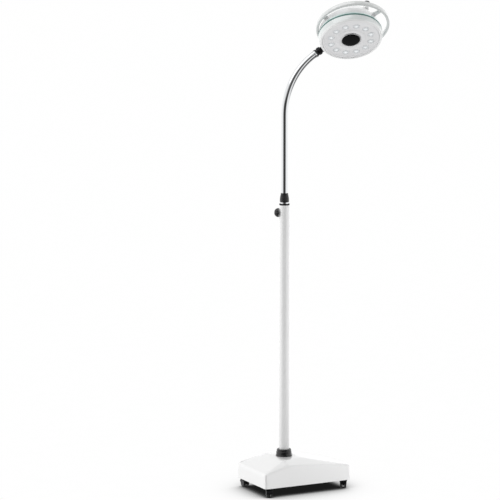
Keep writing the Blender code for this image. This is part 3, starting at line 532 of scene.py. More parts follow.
def cast(name, colour):
    nodes = Nodes(name)
    return nodes.surface(
        nodes.mixed(nodes.ranged(nodes.noise(50.0, 5.0), 0.0, 1.0), shade(colour, 0.8), shade(colour, 1.2)),
        nodes.ranged(nodes.noise(120.0, 4.0), 0.5, 0.75),
        nodes.bump(nodes.noise(700.0, 4.0), 0.35, 0.0005),
    )


def silver_face(name, colour, frame):
    """Satin silver panel, with a faint circular lay round the head's axis."""
    nodes = Nodes(name, frame)
    inputs = {"Scale": 160.0, "Distortion": 0.6, "Vector": nodes.place}
    lay = nodes.made("TexWave", "Fac", inputs, wave_type="RINGS", rings_direction="Z")
    grain = nodes.noise(2600.0, 2.0)
    return nodes.surface(
        nodes.mixed(nodes.ranged(nodes.noise(14.0), 0.0, 1.0), shade(colour, 0.95), colour),
        nodes.ranged(lay, 0.30, 0.40, 0.0, 1.0),
        nodes.bump(grain, 0.10, 0.0002, nodes.bump(lay, 0.05, 0.0002)),
        Metallic=0.15,
    )


def lens_material(name, tone, level):
    """Clear moulded lens over a bright reflector, with a little light in it."""
    nodes = Nodes(name)
    fine = nodes.noise(900.0, 2.0)
    colours = [(tone * red, tone * 0.98, tone) for red in (0.93, 0.97)]
    return nodes.surface(
        nodes.mixed(nodes.ranged(fine, 0.0, 1.0), *colours),
        nodes.ranged(nodes.noise(200.0), 0.05, 0.14),
        nodes.bump(fine, 0.04, 0.0002),
        Coat_Weight=0.4, Coat_Roughness=0.06, Emission_Color=(1.0, 0.99, 0.97, 1.0), Emission_Strength=level,
    )


def glowing_ring(name, colour, glow):
    nodes = Nodes(name)
    cloudy = nodes.ranged(nodes.noise(60.0), 0.0, 1.0)
    return nodes.surface(
        nodes.mixed(cloudy, shade(colour, 0.9), colour),
        nodes.ranged(nodes.noise(220.0), 0.16, 0.28),
        nodes.bump(nodes.noise(700.0), 0.04, 0.0002),
        Emission_Color=(*glow, 1.0), Emission_Strength=0.04, Coat_Weight=0.3, Coat_Roughness=0.1,
    )


def board_material(name):
    nodes = Nodes(name)
    tracks = nodes.ranged(nodes.noise(260.0, 1.0), 0.0, 1.0, 0.48, 0.52)
    return nodes.surface(
        nodes.mixed(tracks, (0.02, 0.16, 0.07), (0.04, 0.24, 0.11)),
        nodes.ranged(nodes.noise(120.0), 0.35, 0.5),
        nodes.bump(tracks, 0.1, 0.0002),
    )


def floor_material(name):
    """A white sweep that glows by itself, with a painted contact shadow: as bright as the room above it is
    open.
    """
    nodes = Nodes(name)
    open_room = nodes.made("AmbientOcclusion", "AO", {"Distance": SHADOW_REACH}, samples=24)
    # Painted shadow: the glow is dimmed where ambient occlusion finds the room above closed in, under and
    # beside the base.
    light = nodes.ranged(open_room, SHADOW_LEAST, 1.0, SHADOW_FULL, SHADOW_NONE, smooth=True)
    strength = nodes.math("MULTIPLY", light, nodes.ranged(nodes.noise(12.0), 0.995, 1.0))
    glow = nodes.made("Emission", "Emission", {"Color": (1.0, 1.0, 1.0, 1.0), "Strength": strength})
    nodes.plug(nodes.tree.nodes["Material Output"].inputs["Surface"], glow)
    return nodes.owner


# ---------------- studio

def studio_point(right, away, up):
    """A point given as seen by the camera, from the pole's foot."""
    turn = Matrix.Rotation(radians(CAMERA_AZIMUTH), 4, "Z")
    return POLE + turn @ Vector((right, away, up))


def make_camera():
    position = studio_point(0, -CAMERA_DISTANCE, CAMERA_HEIGHT)
    aim = studio_point(AIM_SIDE, 0, AIM_HEIGHT)
    data = bpy.data.cameras.new("camera")
    data.sensor_width = SENSOR
    data.lens = SENSOR * (aim - position).length / FRAME_SPAN
    data.clip_end = 300.0
    camera = bpy.data.objects.new("camera", data)
    bpy.context.scene.collection.objects.link(camera)
    camera.location = position
    camera.rotation_euler = (aim - position).to_track_quat("-Z", "Y").to_euler()
    bpy.context.scene.camera = camera


def make_world():
    """A white studio with a dark gap in front of the lamp and little light along the floor."""
    nodes = Nodes("studio", world=True)
    bpy.context.scene.world = nodes.owner
    heading = nodes.math("ARCTAN2", nodes.axis("Y"), nodes.axis("X"))
    from_view = nodes.math("MULTIPLY_ADD", heading, 1 / (2 * pi), 1.5 - (CAMERA_AZIMUTH - 90) / 360)
    round_view = nodes.math("FRACT", from_view, 0.0)

    def levels(table):
        """The table's light, round the view."""
        ramp = nodes.tree.nodes.new("ShaderNodeValToRGB")
        elements = ramp.color_ramp.elements
        elements.remove(elements[1])
        for index, (degrees, level) in enumerate(table):
            position = 0.5 + degrees / 360
            element = elements.new(position) if index else elements[0]
            element.position = position
            element.color = (level / RAMP_TOP,) * 3 + (1.0,)
        nodes.plug(ramp.inputs["Fac"], round_view)
        return ramp.outputs["Color"]

    def between(start, end):
        """0 to 1 between two heights of the view's direction."""
        return nodes.ranged(nodes.axis("Z"), 0.0, 1.0, start, end, smooth=True)

    light = nodes.mixed(between(0.12, 0.32), levels(SIDE_LIGHT), levels(HIGH_LIGHT))
    light = nodes.mixed(between(0.55, 0.85), light, (SKY_LIGHT / RAMP_TOP,) * 3)
    light = nodes.mixed(between(-0.14, -0.30), light, levels(FLOOR_LIGHT))
    light = nodes.mixed(nodes.made("LightPath", "Is Camera Ray"), light, (1.0 / RAMP_TOP,) * 3)
    background = nodes.tree.nodes["Background"].inputs
    nodes.plug(background["Color"], light)
    nodes.plug(background["Strength"], RAMP_TOP)


def make_light(name, kind, location, target, energy, size):
    data = bpy.data.lights.new(name, kind)
    data.energy = energy
    if kind == "SUN":
        data.angle = radians(size)
    else:
        data.shape = "DISK"
        data.size = size
    light = bpy.data.objects.new(name, data)
    bpy.context.scene.collection.objects.link(light)
    light.location = location
    light.rotation_euler = (Vector(target) - Vector(location)).to_track_quat("-Z", "Y").to_euler()
    return light


def make_floor(steps=96):
    bm = bmesh.new()
    bm.faces.new([bm.verts.new((*around(360 * step / steps, FLOOR_RADIUS), 0)) for step in range(steps)])
    floor = new_object("floor", bm)
    floor.data.materials.append(floor_material("floor_painted_shadow_look"))
    floor.visible_glossy = False


def make_studio():
    make_camera()
    make_world()
    make_light("overhead", "SUN", studio_point(*SUN_PLACE), POLE, SUN_STRENGTH, SUN_SPREAD)
    place, target = studio_point(*FILL_PLACE), studio_point(*FILL_TARGET)
    side_fill = make_light("side_fill", "AREA", place, target, FILL_POWER, FILL_SIZE)
    side_fill.visible_camera = False
    side_fill.visible_glossy = False
    make_floor()
    bpy.context.scene.view_settings.view_transform = "Standard"


# ---------------- base

def smooth_height(eave, x):
    """Height of the eave above x, with the bends of its line eased."""
    total = 0.0
    for step in range(-EAVE_SAMPLES, EAVE_SAMPLES + 1):
        at = min(max(x + step * EAVE_SPREAD / EAVE_SAMPLES, eave[0][0]), eave[-1][0])
        for (x0, z0), (x1, z1) in zip(eave, eave[1:]):
            if at <= x1:
                total += z0 + (z1 - z0) * (at - x0) / (x1 - x0)
                break
    return total / (2 * EAVE_SAMPLES + 1)


def cover_outline():
    """Points round the cover's foot, with the direction outwards, the eave's height and the crown's point."""
    corners = []
    for x, side, line in (
        (BASE_LEFT, -1, FRONT_EAVE), (BASE_RIGHT, -1, FRONT_EAVE),
        (BASE_RIGHT, 1, REAR_EAVE), (BASE_LEFT, 1, REAR_EAVE),
    ):
        end = copysign(1, x)
        crown_x, crown_y = CROWN_LEFT if end < 0 else CROWN_RIGHT
        centre = Vector((x - end * COVER_CORNER, side * (BASE_HALF_DEPTH - COVER_CORNER)))
        crown = Vector((crown_x - end * CROWN_CORNER, side * (crown_y - CROWN_CORNER)))
        corners.append((centre, crown, smooth_height(line, x), line))

    rows = []
    for index, (centre, crown, height, line) in enumerate(corners):
        for step in range(CORNER_STEPS + 1):
            out = around(180 + 90 * (index + step / CORNER_STEPS))
            rows.append((centre + out * COVER_CORNER, out, height, crown + out * CROWN_CORNER))
        next_centre, next_crown, next_height, _ = corners[(index + 1) % 4]
        along = index % 2 == 0
        count = LONG_SIDE_STEPS if along else SHORT_SIDE_STEPS
        for step in range(count):
            t = (step + 0.5) / count
            point = centre.lerp(next_centre, t) + out * COVER_CORNER
            eave = smooth_height(line, point.x) if along else height + (next_height - height) * t
            rows.append((point, out, eave, crown.lerp(next_crown, t) + out * CROWN_CORNER))
    return rows


def roof_shape():
    """The cover's outer form as the CAD has it: the hull of its foot, its eaves and its crown."""
    bm = bmesh.new()

    def eave(x, y, inward_x, inward_y, height):
        for rise in (0, 15, 30, 45, 60, 75, 90):
            reach = COVER_EDGE * (1 - cos(radians(rise)))
            lift = COVER_EDGE * (sin(radians(rise)) - EAVE_DROP)
            bm.verts.new((x + inward_x * reach, y + inward_y * reach, height + lift))

    for side, line in ((-1, FRONT_EAVE), (1, REAR_EAVE)):
        for end, x, height in ((-1, BASE_LEFT, line[0][1]), (1, BASE_RIGHT, line[-1][1])):
            lift = height - COVER_BOTTOM
            centre = Vector((x - end * COVER_CORNER, side * (BASE_HALF_DEPTH - COVER_CORNER)))
            lean = Vector((end * END_LEAN * lift, side * WALL_LEAN * lift))
            for step in range(7):
                angle = radians(15 * step)
                out = Vector((end * cos(angle), side * sin(angle)))
                foot = centre + out * COVER_CORNER
                bm.verts.new((foot.x, foot.y, COVER_BOTTOM))
                eave(foot.x - lean.x, foot.y - lean.y, -out.x, -out.y, height)
        for x, height in line[1:-1]:
            y = side * (BASE_HALF_DEPTH - WALL_LEAN * (height - COVER_BOTTOM))
            eave(x, y, 0, -side, height)
    for x, y in (CROWN_LEFT, CROWN_RIGHT):
        for side in (-1, 1):
            bm.verts.new((x, side * y, CROWN_HEIGHT))
    bmesh.ops.convex_hull(bm, input=bm.verts)
    tree = BVHTree.FromBMesh(bm)
    bm.free()
    return tree


def roof_height(tree, x, y, spread):
    """The roof's height, averaged over a small disc so that its creases are rounded."""
    total = 0.0
    count = 0
    for reach, turns in ((0.0, 1), (0.55, 6), (1.0, 10)):
        for turn in range(turns):
            angle = 2 * pi * turn / turns
            spot = Vector((x + spread * reach * cos(angle), y + spread * reach * sin(angle), 1000))
            hit = tree.ray_cast(spot, Vector((0, 0, -1)))[0]
            if hit and hit.z > COVER_BOTTOM + 40:
                total += hit.z
                count += 1
    return total / count


def cover_column(tree, point, out, height, crown):
    """One line of points up the cover's wall, round its eave, over the roof and in to the pole's hole."""
    line = [Vector((point.x, point.y, COVER_BOTTOM))]

    def wall(z, inset=0.0):
        lift = z - COVER_BOTTOM
        x = point.x - out.x * (END_LEAN * lift + inset)
        y = point.y - out.y * (WALL_LEAN * lift + inset)
        return Vector((x, y, z))

    line.append(wall(COVER_BOTTOM + COVER_LIP))
    line.append(wall(COVER_BOTTOM + COVER_LIP + 0.5, COVER_STEP))
    shoulder = height - EAVE_DROP * COVER_EDGE
    for share in (0.25, 0.5, 0.75, 1.0):
        z = COVER_BOTTOM + COVER_LIP + (shoulder - COVER_BOTTOM - COVER_LIP) * share
        line.append(wall(z, COVER_STEP))
    for rise in (15, 30, 45, 57):
        angle = radians(rise)
        spot = wall(shoulder, COVER_STEP + COVER_EDGE * (1 - cos(angle)))
        spot.z = height + COVER_EDGE * (sin(angle) - EAVE_DROP) - SKIN_GAP
        line.append(spot)
    start = line[-1].copy()
    first = wall(shoulder, EAVE_INSET)
    middle = Vector((crown.x, crown.y, 0))
    hole = middle.normalized() * (POLE_RADIUS + 2)
    shares = (0, 0.06, 0.14, 0.24, 0.36, 0.5, 0.64, 0.78, 0.89, 1)
    run = [first.lerp(middle, share) for share in shares]
    run += [middle.lerp(hole, share) for share in (0.3, 0.65, 1)]
    for index, spot in enumerate(run):
        z = roof_height(tree, spot.x, spot.y, CROWN_SOFTNESS if index else 2) - SKIN_GAP
        line.append(Vector((spot.x, spot.y, z)))
    line[-len(run)].z = max(line[-len(run)].z, start.z + 0.4)
    return line


def base_cover():
    bm = bmesh.new()
    tree = roof_shape()
    columns = [cover_column(tree, *row) for row in cover_outline()]
    outer = [[bm.verts.new(column[level]) for column in columns] for level in range(len(columns[0]))]
    add_rings(bm, outer)
    bmesh.ops.recalc_face_normals(bm, faces=bm.faces)
    lowest = min(bm.faces, key=lambda face: face.calc_center_median().z)
    middle = Vector((40, 0, 60))
    if lowest.normal.dot(lowest.calc_center_median() - middle) < 0:
        bmesh.ops.reverse_faces(bm, faces=bm.faces)
    bm.transform(Matrix.Scale(MM, 4))
    mesh = bpy.data.meshes.new("base_shell")
    bm.to_mesh(mesh)
    bm.free()
    piece = bpy.data.objects.new("base_shell", mesh)
    bpy.context.scene.collection.objects.link(piece)
    piece.matrix_world = STAND
    mesh.materials.append(WHITE)
    shell = piece.modifiers.new("Shell", "SOLIDIFY")
    shell.thickness = (COVER_WALL - 0.6) * MM
    shell.offset = -1
    bake(piece)

    def openings(bm):
        """Holes for the mains inlet and the switch."""
        for low_x, high_x, half, radius in ((140, 168, 10.8, 1.5), (104, 124, 7.8, 1.0)):
            outline = rounded_rectangle(low_x, -half, high_x, half, radius)
            slab(bm, outline, -8, 14, 0.1, REAR_LOCAL)

    cut_out(piece, openings, STAND)
    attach(piece, "base")
    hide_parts("base_cover")


def screw_head(bm, matrix, radius, height):
    """A round screw head with a recess, standing on the matrix's XY plane."""
    profile = [(0, height * 0.35), (radius * 0.5, height * 0.35), (radius * 0.52, height)]
    profile += fillet([(radius * 0.8, height), (radius, height * 0.7), (radius, -0.3)], radius * 0.15, False)
    profile += [(0, -0.3)]
    lathe(bm, profile, 24, matrix)


def pole_collar():
    bm = bmesh.new()
    bottom = CROWN_HEIGHT + 0.3
    bore = POLE_RADIUS + 0.3
    profile = [
        (24.6, COLLAR_TOP), (26.4, COLLAR_TOP - 1.8), (27.2, COLLAR_TOP - 7), (26.6, COLLAR_TOP - 8),
        (27.8, COLLAR_TOP - 9.4), (29.4, bottom + 4), (30.4, bottom + 3), (30.5, bottom), (bore, bottom),
        (bore, COLLAR_TOP - 3), (bore + 1.5, COLLAR_TOP),
    ]
    lathe(bm, fillet(profile, 0.8, True), 96)
    for degrees in (30, 150, 270):
        screw_head(bm, facing((*around(degrees, 28.2), 139), (*around(degrees), 0.16)), 2.6, 0.9)
    add_piece("pole_foot_collar", bm, STAND, "base", [BLACK_SHINE], "pole_collar")


def wall_fitting(bm, layers, rear, depth):
    """A fitting in the rear wall: layers from its flange's foot in to its well, and a body behind it."""
    def ring(outline, height):
        return [bm.verts.new(REAR_LOCAL @ Vector((x, y, height))) for x, y in outline]

    rings = [ring(outline, height) for outline, height in layers]
    add_rings(bm, rings)
    bm.faces.new(rings[-1])
    back = ring(rear, depth)
    add_rings(bm, [rings[0], ring(rear, FLANGE_GAP), back])
    bm.faces.new(back)


def rear_fittings():
    """Mains inlet and rocker switch in the rear wall."""
    def shrunk(outline, centre, across, along):
        return [(centre + (x - centre) * across, y * along) for x, y in outline]

    bm = bmesh.new()
    flange = rounded_rectangle(137, -13.5, 171, 13.5, 2.5)
    opening = shrunk(flange, 154, 0.67, 0.58)
    layers = (
        (flange, FLANGE_GAP), (flange, 1.9), (shrunk(flange, 154, 0.97, 0.96), 2.7),
        (shrunk(opening, 154, 1.04, 1.05), 2.7), (opening, 2.1), (opening, -15),
    )
    wall_fitting(bm, layers, rounded_rectangle(141, -9.5, 167, 9.5, 1.5), -18)
    for x, y in ((147.5, -2.0), (154.0, 2.5), (160.5, -2.0)):
        pin = rounded_rectangle(x - 1, y - 2, x + 1, y + 2, 0.4, 3)
        slab(bm, pin, -16, -2, 0.4, REAR_LOCAL)
    add_piece("mains_inlet", bm, STAND, "base", [BLACK_SATIN], "power_inlet")

    bm = bmesh.new()
    frame = rounded_rectangle(102, -9.5, 126, 9.5, 1.5)
    well = rounded_rectangle(106, -5.5, 122, 5.5, 0.8)
    soft = shrunk(frame, 114, 0.95, 0.94)
    layers = ((frame, FLANGE_GAP), (frame, 1.5), (soft, 2.3), (well, 2.2), (well, -11))
    wall_fitting(bm, layers, rounded_rectangle(104.8, -6.7, 123.2, 6.7, 1.0), -15)
    add_piece("switch_frame", bm, STAND, "base", [BLACK_SATIN], "switch_housing")

    bm = bmesh.new()
    side = []
    count = 13
    for step in range(count):
        z = -4.6 + 9.2 * step / (count - 1)
        side.append((33.2 - sqrt(26 ** 2 - z ** 2), z))
    side += [(0.6, 4.6), (0.0, 4.0), (0.0, -4.0), (0.6, -4.6)]
    rings = []
    for x in (-7.4, -7.1, 7.1, 7.4):
        shrink = 0.96 if abs(x) > 7.2 else 1.0
        rings.append([bm.verts.new(Vector((x, 3.8 + (y - 3.8) * shrink, z * shrink))) for y, z in side])
    capped(bm, rings)
    ring = [(1.5, 7.45), (1.5, 7.2), (1.15, 7.2), (1.15, 7.45)]
    lathe(bm, ring, 24, Matrix.Translation((0, 0, -2.4)) @ Matrix.Rotation(radians(-90), 4, "X"))
    add_piece("rocker", bm, ROCKER, "switch", [GLOSS_BLACK], "switch_rocker")


# ---------------- casters

def wheel(name, matrix, body, node):
    """Rubber tread on a grey disc with a raised hub and a ring-shaped hollow round it."""
    bm = bmesh.new()
    half = WHEEL_HALF_WIDTH
    tread = [
        (WHEEL_RADIUS - 3.2, half - 0.6), (WHEEL_RADIUS - 1.6, half - 0.3), (WHEEL_RADIUS, half - 1.8),
        (WHEEL_RADIUS, 1.4 - half), (WHEEL_RADIUS - 1.2, 0.2 - half), (WHEEL_RADIUS - 3.2, 0.2 - half),
    ]
    lathe(bm, fillet(tread, 0.9, True), 56, material_index=0)
    disc = [
        (0, half - 0.4), (1.8, half - 0.4), (2.4, half - 0.1), (4.2, half - 0.1), (5.0, half - 1.3),
        (9.6, half - 1.3), (10.4, half - 0.3), (11.6, half - 0.4), (11.6, 0.4 - half), (0, 0.4 - half),
    ]
    lathe(bm, fillet(disc, 0.35, False), 56, material_index=1)
    add_piece(name, bm, matrix, body, [TREAD, WHEEL_GREY], node)


def caster(corner, swivel, hub):
    """Hood with its fender, plate and stem, in the caster's own frame, and its two wheels."""
    bm = bmesh.new()
    web = rounded_rectangle(-13, 10, 6, 37.5, 2.5)
    upright = Matrix(((1, 0, 0, 0), (0, 0, -1, 0), (0, 1, 0, 0), (0, 0, 0, 1)))
    slab(bm, web, -3.4, 3.4, 0.8, upright)
    outer = FENDER_RADIUS
    inner = WHEEL_RADIUS + 1.0
    half = 12.4
    section = fillet(
        [(outer, -half), (outer, half), (inner, half), (inner, -half)], 0.6, True, 2)
    rings = []
    count = 28
    for step in range(count + 1):
        angle = radians(4 + 172 * step / count)
        rings.append([
            bm.verts.new(Vector((
                -CASTER_TRAIL + radius * cos(angle), across, AXLE_HEIGHT + radius * sin(angle))))
            for radius, across in section
        ])
    capped(bm, rings)
    plate = [
        (0, 43.4), (5, 43.4), (5, CASTER_TOP), (CASTER_PLATE_RADIUS, CASTER_TOP),
        (CASTER_PLATE_RADIUS, 34.6), (CASTER_PLATE_RADIUS - 0.8, 33.2), (CASTER_PLATE_RADIUS - 2.6, 24.5),
        (CASTER_PLATE_RADIUS - 4.4, 24.5), (CASTER_PLATE_RADIUS - 3.4, 30.6), (0, 30.6),
    ]
    lathe(bm, fillet(plate, 0.8, False), 48)
    name = "caster_" + corner
    add_piece(name + "_body", bm, swivel, "swivel_" + corner, [BLACK_SATIN], name + "_hood")
    riding = "wheels_" + corner
    near = hub @ Matrix.Translation((0, 0, WHEEL_OFFSET * MM))
    wheel(name + "_roller_near", near, riding, name + "_wheel_near")
    turned_over = hub @ Matrix.Translation((0, 0, -WHEEL_OFFSET * MM)) @ Matrix.Rotation(pi, 4, "X")
    wheel(name + "_roller_far", turned_over, riding, name + "_wheel_far")
    profile = [(0, 11.4), (2, 11.4), (2, -11.4), (0, -11.4)]
    turned(name + "_pin", fillet(profile, 0.4, False), 32, hub, riding, STEEL, name + "_axle")


def casters():
    for corner in ("front_left", "front_right", "rear_left", "rear_right"):
        turn = JOINTS["swivel_turn_" + corner]
        roll = JOINTS["wheel_roll_" + corner]
        stem = Vector(turn["pos_m"])
        centre = Vector(roll["pos_m"])
        axle = Vector(roll["axis"]).normalized()
        trail = stem - Vector((centre.x, centre.y, 0))
        swivel = frame_matrix(stem, (trail.x, trail.y, 0), (0, 0, 1))
        hub = frame_matrix(centre, (trail.x, trail.y, 0), axle)
        caster(corner, swivel, hub)


# ---------------- column

def pole():
    profile = [
        (POLE_RADIUS, POLE_TOP), (POLE_RADIUS, 800), (POLE_RADIUS, 450), (POLE_RADIUS, POLE_BOTTOM),
        (POLE_RADIUS - POLE_WALL, POLE_BOTTOM), (POLE_RADIUS - POLE_WALL, POLE_TOP),
    ]
    turned("pole_post", fillet(profile, 0.4, True), 96, STAND, "base", WHITE, "pole_tube")

    bore = INNER_RADIUS + 0.3
    sleeve = POLE_RADIUS - POLE_WALL - 0.3
    profile = raised(
        POLE_TOP, (bore + 0.9, 6), (POLE_RADIUS - 1.4, 6), (POLE_RADIUS, 4.4), (POLE_RADIUS, 0.3),
        (sleeve, 0.3), (sleeve, -15), (bore, -15), (bore, 5.2)
    )
    turned("pole_end_ring", fillet(profile, 0.5, True), 96, STAND, "base", BLACK_SATIN, "pole_cap")


def clamp():
    axis = Vector(JOINTS["clamp_turn"]["axis"]).normalized()
    origin = Vector(JOINTS["clamp_turn"]["pos_m"])
    matrix = facing(origin, axis)

    def flutes(angle, radius, height):
        if radius < 12:
            return 0.0
        share = min(1.0, (radius - 12) / 3)
        return groove(angle, 10, 1.1 * share, 3)

    outer = raised(
        POLE_RADIUS, (0, 18.5), (3.2, 18.4), (6.5, 17.7), (9.4, 16.4), (12.2, 14.2), (14.6, 11.0),
        (16.2, 7.6), (16.9, 4.6), (17.0, 2.8), (16.2, 1.3), (14.5, 0.8), (8.6, 0.8), (8.6, 2.3), (4.3, 2.3),
        (4.3, 12.3), (0, 12.3)
    )
    turned("clamp_grip", fillet(outer, 0.5, False, 2), 120, matrix, "clamp_knob_body", BLACK_SHINE,
           "clamp_knob", wave=flutes)

    tip = INNER_RADIUS + 0.3
    pitch = 1.25
    profile = [(0, POLE_RADIUS + 12), (4, POLE_RADIUS + 12)]
    height = POLE_RADIUS + 11
    while height > tip + 2:
        profile += [(4, height), (3.4, height - pitch / 2)]
        height -= pitch
    profile += [(4, tip + 1), (3.2, tip), (0, tip)]
    turned("clamp_thread", profile, 32, matrix, "clamp_screw_body", STEEL, "clamp_screw")

    profile = [
        (8, POLE_RADIUS + 2), (8, POLE_RADIUS + 0.3), (6, POLE_RADIUS + 0.3), (6, INNER_RADIUS + 0.8),
        (4.3, INNER_RADIUS + 0.8), (4.3, POLE_RADIUS + 2),
    ]
    turned("clamp_insert", fillet(profile, 0.3, True, 2), 48, matrix, "base", STEEL, "clamp_boss")


def telescoping_tube():
    profile = [
        (INNER_RADIUS, INNER_TOP), (INNER_RADIUS, 800), (INNER_RADIUS, 520), (INNER_RADIUS - 1.5, 520),
        (INNER_RADIUS - 1.5, INNER_TOP),
    ]
    turned("telescope", fillet(profile, 0.3, True, 2), 96, STAND, "column", CHROME, "inner_tube")

    def ribs(angle, radius, height):
        inside = radius < 13.4 or height < NUT_BOTTOM + 3.2 or height > NUT_TOP - 6
        if inside or radius < INNER_RADIUS + 0.4 and height < INNER_TOP:
            return 0.0
        return groove(angle, 24, 0.55)

    step = INNER_TOP + 0.3
    bore = ARM_RADIUS + 0.25
    profile = [
        (13.2, NUT_TOP), (13.6, NUT_TOP - 1.5), (13.9, NUT_TOP - 5.5), (14.4, NUT_TOP - 7.5),
        (15.4, NUT_TOP - 13), (16.5, NUT_TOP - 19), (16.8, NUT_TOP - 24), (16.9, NUT_BOTTOM + 4.5),
        (16.9, NUT_BOTTOM + 2.5), (16.2, NUT_BOTTOM), (INNER_RADIUS + 0.3, NUT_BOTTOM),
        (INNER_RADIUS + 0.3, step), (bore, step), (bore, NUT_TOP),
    ]
    turned("swivel_nut", fillet(profile, 0.5, True, 2), 144, STAND, "column", BLACK_SHINE, "arm_nut_lower",
           wave=ribs)


def arm():
    """The chromed tube: upright, then bent, and open at both ends."""
    bm = bmesh.new()
    centres = [Vector((0, 0, ARM_BOTTOM)), Vector((0, 0, 1200)), Vector((0, 0, ARM_BEND_START - 20))]
    tangents = [Vector((0, 0, 1))] * 3
    steps = 60
    turn = radians(ARM_BEND_ANGLE)
    for step in range(steps + 1):
        angle = turn * step / steps
        x = ARM_BEND_RADIUS * (1 - cos(angle))
        z = ARM_BEND_START + ARM_BEND_RADIUS * sin(angle)
        centres.append(Vector((x, 0, z)))
        tangents.append(Vector((sin(angle), 0, cos(angle))))
    centres.append(centres[-1] + tangents[-1] * 8)
    tangents.append(tangents[-1])
    side = Vector((0, 1, 0))
    rings = []
    for radius, order in ((ARM_RADIUS, 1), (ARM_RADIUS - ARM_WALL, -1)):
        run = list(zip(centres, tangents))[::order]
        for centre, tangent in run:
            across = tangent.cross(side).normalized()
            section = [around(360 * step / ARM_SIDES, radius) for step in range(ARM_SIDES)]
            rings.append([bm.verts.new(centre + across * u + side * w) for u, w in section])
    add_rings(bm, rings, True)
    add_piece("bent_arm", bm, STAND, "arm", [CHROME], "arm_tube")


# ---------------- knuckle

def knuckle():
    bottom = -PIVOT_REACH
    bore = ARM_RADIUS + 0.3

    black = raised(
        bottom, (13.8, 12), (14.6, 11), (14.6, 9.2), (14.0, 7.6), (bore, 7.6), (bore, 8.4), (9.5, 8.4),
        (9.5, 12)
    )
    bright = raised(
        bottom, (13.4, 7.4), (13.4, 0.8), (13.0, 0), (bore, 0), (bore, 7.4)
    )
    bm = bmesh.new()
    lathe(bm, fillet(black, 0.5, True, 2), 120)
    lathe(bm, fillet(bright, 0.3, True, 2), 64, material_index=1)
    add_piece("arm_end_nut", bm, KNUCKLE, "arm", [BLACK_SHINE, CHROME], "arm_nut_upper")

    bm = bmesh.new()
    foot = 12.3 - PIVOT_REACH
    profile = raised(
        foot, (0, 3.6), (12.4, 3.4), (14, 1.6), (14, 0), (6.5, 0), (6.5, -27), (0, -27)
    )
    lathe(bm, fillet(profile, 0.6, False), 64)
    outline = [around(-8 + 196 * step / 24, 13) for step in range(25)]
    outline += [(-11.6, foot + 5), (-11.2, foot + 1), (11.2, foot + 1), (11.6, foot + 5)]
    stand_up = Matrix(((0, 0, 1, 0), (1, 0, 0, 0), (0, 1, 0, 0), (0, 0, 0, 1)))
    for low, high in ((4.8, 9.8), (-9.8, -4.8)):
        slab(bm, outline, low, high, 0.9, stand_up)
    add_piece("wrist_fork", bm, KNUCKLE, "wrist", [BLACK_PAINT], "knuckle_fork")

    across = KNUCKLE @ facing((0, 0, 0), (1, 0, 0))
    face = 9.8 + 0.3
    bm = bmesh.new()
    profile = [
        (0, face + 2.2), (3.0, face + 2.2), (3.1, face + 4.2), (4.6, face + 4.2), (7.4, face + 2.6),
        (8.5, face + 0.9), (8.5, face), (3, face), (3, -face - 1.8), (0, -face - 1.8),
    ]
    lathe(bm, fillet(profile, 0.4, False, 2), 6 * 12)
    add_piece("knuckle_bolt", bm, across, "wrist", [OXIDE], "pivot_bolt")
    profile = [
        (0, -face - 2.1), (3.3, -face - 2.1), (3.3, -face), (8.5, -face), (8.5, -face - 0.9),
        (7.2, -face - 2.8), (4.4, -face - 4.2), (0, -face - 4.5),
    ]
    turned("knuckle_bolt_nut", fillet(profile, 0.4, False, 2), 64, across, "wrist", OXIDE, "pivot_nut")

    bm = bmesh.new()
    profile = [
        (0, 45.6), (5, 45.6), (5, 19), (10.9, 19), (11.5, 17.6), (11.3, 15.6), (10.2, 14.3), (4.4, 13.2),
        (4.2, 5), (0, 5),
    ]
    lathe(bm, fillet(profile, 0.5, False, 2), 64)
    eye = [around(degrees, 10) for degrees in range(0, 360, 8)]
    slab(bm, eye, -4.5, 4.5, 0.7, stand_up)
    add_piece("knuckle_tongue", bm, LINK, "link", [BLACK_PAINT], "knuckle_link")


# ---------------- head

